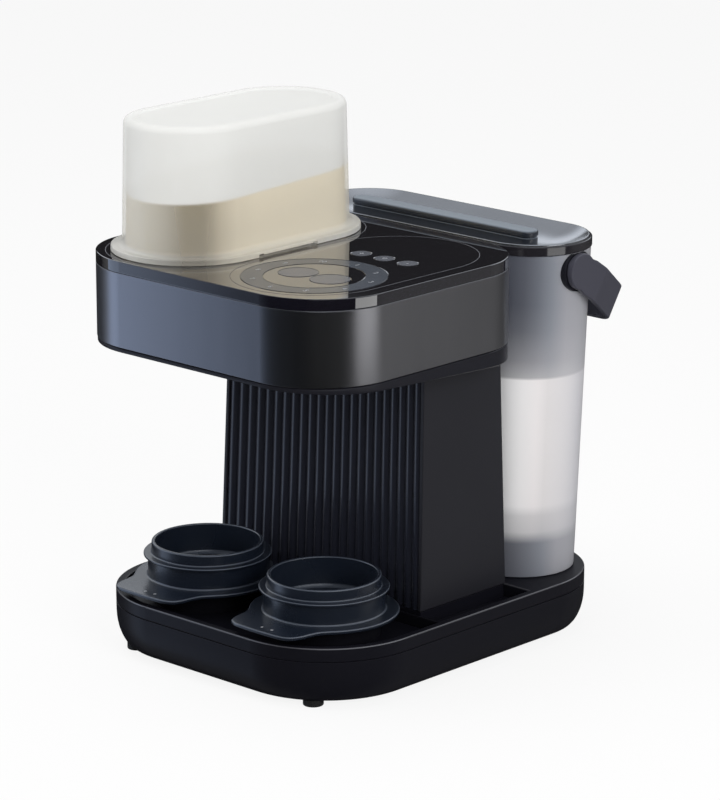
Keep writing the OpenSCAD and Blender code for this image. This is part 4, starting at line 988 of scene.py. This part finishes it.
FLOOR_HALF, FLOOR_SHADE = 9.0, 0.12      # metres, and how much of its shading the camera sees
floor_mesh = bpy.data.meshes.new("floor")
floor_mesh.from_pydata([(-FLOOR_HALF, -FLOOR_HALF, 0), (FLOOR_HALF, -FLOOR_HALF, 0),
                        (FLOOR_HALF, FLOOR_HALF, 0), (-FLOOR_HALF, FLOOR_HALF, 0)], [], [(0, 1, 2, 3)])
floor_mesh.materials.append(backdrop_material("floor", FLOOR_SHADE))
floor = bpy.data.objects.new("floor", floor_mesh)
bpy.context.scene.collection.objects.link(floor)
floor.visible_glossy = False            # gloss doesn't show the pale floor: it sees the dark studio

# The softbox on the right and the fading wall on the left, as the photograph's gloss suggests them.
# Their brightness, and that of the world below, was tuned by comparing with the photo.
LEFT_WALL_FADE = [(0.0, 1.1), (0.43, 1.1), (0.47, 0.80), (0.50, 0.56), (0.53, 0.38), (0.555, 0.25),
                  (0.58, 0.18), (0.62, 0.12), (0.66, 0.06), (0.72, 0.02), (1.0, 0.01)]
card("left_wall", centre=(-0.325, -0.436, 0.15), across=(1.15, 0, 0), up=(0, 0, 1.1), strength=1.0,
     tint=(0.77, 0.93, 1.25), stops=LEFT_WALL_FADE)
card("right_softbox", centre=(0.5, 0.0485, 0.131), across=(0, 0.283, 0), up=(0, 0, 0.056),
     strength=2.6, tint=(1, 1, 1), stops=[(0.0, 1.0), (1.0, 1.0)])

# What gloss sees farther off: brightness by degrees round the machine, and the share of the sky's
# colour by height, from level (0) to overhead (1).
ROUND = [(-180, 0.02), (-160, 0.30), (-120, 0.20), (-95, 0.03), (-60, 0.02), (20, 0.02), (38, 0.25),
         (60, 0.25), (80, 0.12), (115, 0.02), (180, 0.02)]
OVERHEAD = [(0.0, 0.0), (0.24, 0.0), (0.29, 1.0), (0.45, 1.0), (0.62, 0.42), (0.75, 0.42), (1.0, 0.8)]
GLOSS_SKY = (1.35, 1.42, 1.52)
WORLD_LIGHT = 0.45                      # on dull surfaces


def studio_world():
    """Plain light for dull surfaces, white for the camera, the dark studio for gloss."""
    made = bpy.data.worlds.new("studio")
    made.use_nodes = True
    nodes, links = made.node_tree.nodes, made.node_tree.links
    place = nodes.new("ShaderNodeTexCoord")
    split = nodes.new("ShaderNodeSeparateXYZ")
    links.new(place.outputs["Generated"], split.inputs["Vector"])
    turn = nodes.new("ShaderNodeMath")
    turn.operation = "ARCTAN2"
    links.new(split.outputs["Y"], turn.inputs[0])
    links.new(split.outputs["X"], turn.inputs[1])
    share = nodes.new("ShaderNodeMapRange")
    share.inputs["From Min"].default_value = -math.pi
    share.inputs["From Max"].default_value = math.pi
    links.new(turn.outputs[0], share.inputs["Value"])
    around = ramp_node(nodes, [((angle + 180) / 360, [bright] * 3) for angle, bright in ROUND])
    links.new(share.outputs["Result"], around.inputs["Fac"])
    above = ramp_node(nodes, [(height, [bright] * 3) for height, bright in OVERHEAD])
    links.new(split.outputs["Z"], above.inputs["Fac"])
    gloss = nodes.new("ShaderNodeMix")
    gloss.data_type = "RGBA"
    gloss.inputs["B"].default_value = (*GLOSS_SKY, 1)
    links.new(above.outputs["Color"], gloss.inputs["Factor"])
    links.new(around.outputs["Color"], gloss.inputs["A"])
    rays = nodes.new("ShaderNodeLightPath")
    sight = nodes.new("ShaderNodeMix")
    sight.data_type = "RGBA"
    sight.inputs["A"].default_value = (1, 1, 1, 1)
    links.new(rays.outputs["Is Glossy Ray"], sight.inputs["Factor"])
    links.new(gloss.outputs["Result"], sight.inputs["B"])
    dull = nodes.new("ShaderNodeMapRange")
    dull.inputs["To Min"].default_value = 1.0
    dull.inputs["To Max"].default_value = WORLD_LIGHT
    links.new(rays.outputs["Is Diffuse Ray"], dull.inputs["Value"])
    sky = nodes["Background"]
    links.new(sight.outputs["Result"], sky.inputs["Color"])
    links.new(dull.outputs["Result"], sky.inputs["Strength"])
    return made


bpy.context.scene.world = studio_world()

lamp("overhead", (-0.3, -0.2, 1.7), size=1.3, power=14)
lamp("left_front", (-1.3, -1.2, 0.9), size=1.0, power=7)
lamp("right_front", (1.6, -0.5, 0.8), size=0.9, power=18)

bpy.context.scene.view_settings.view_transform = "Standard"
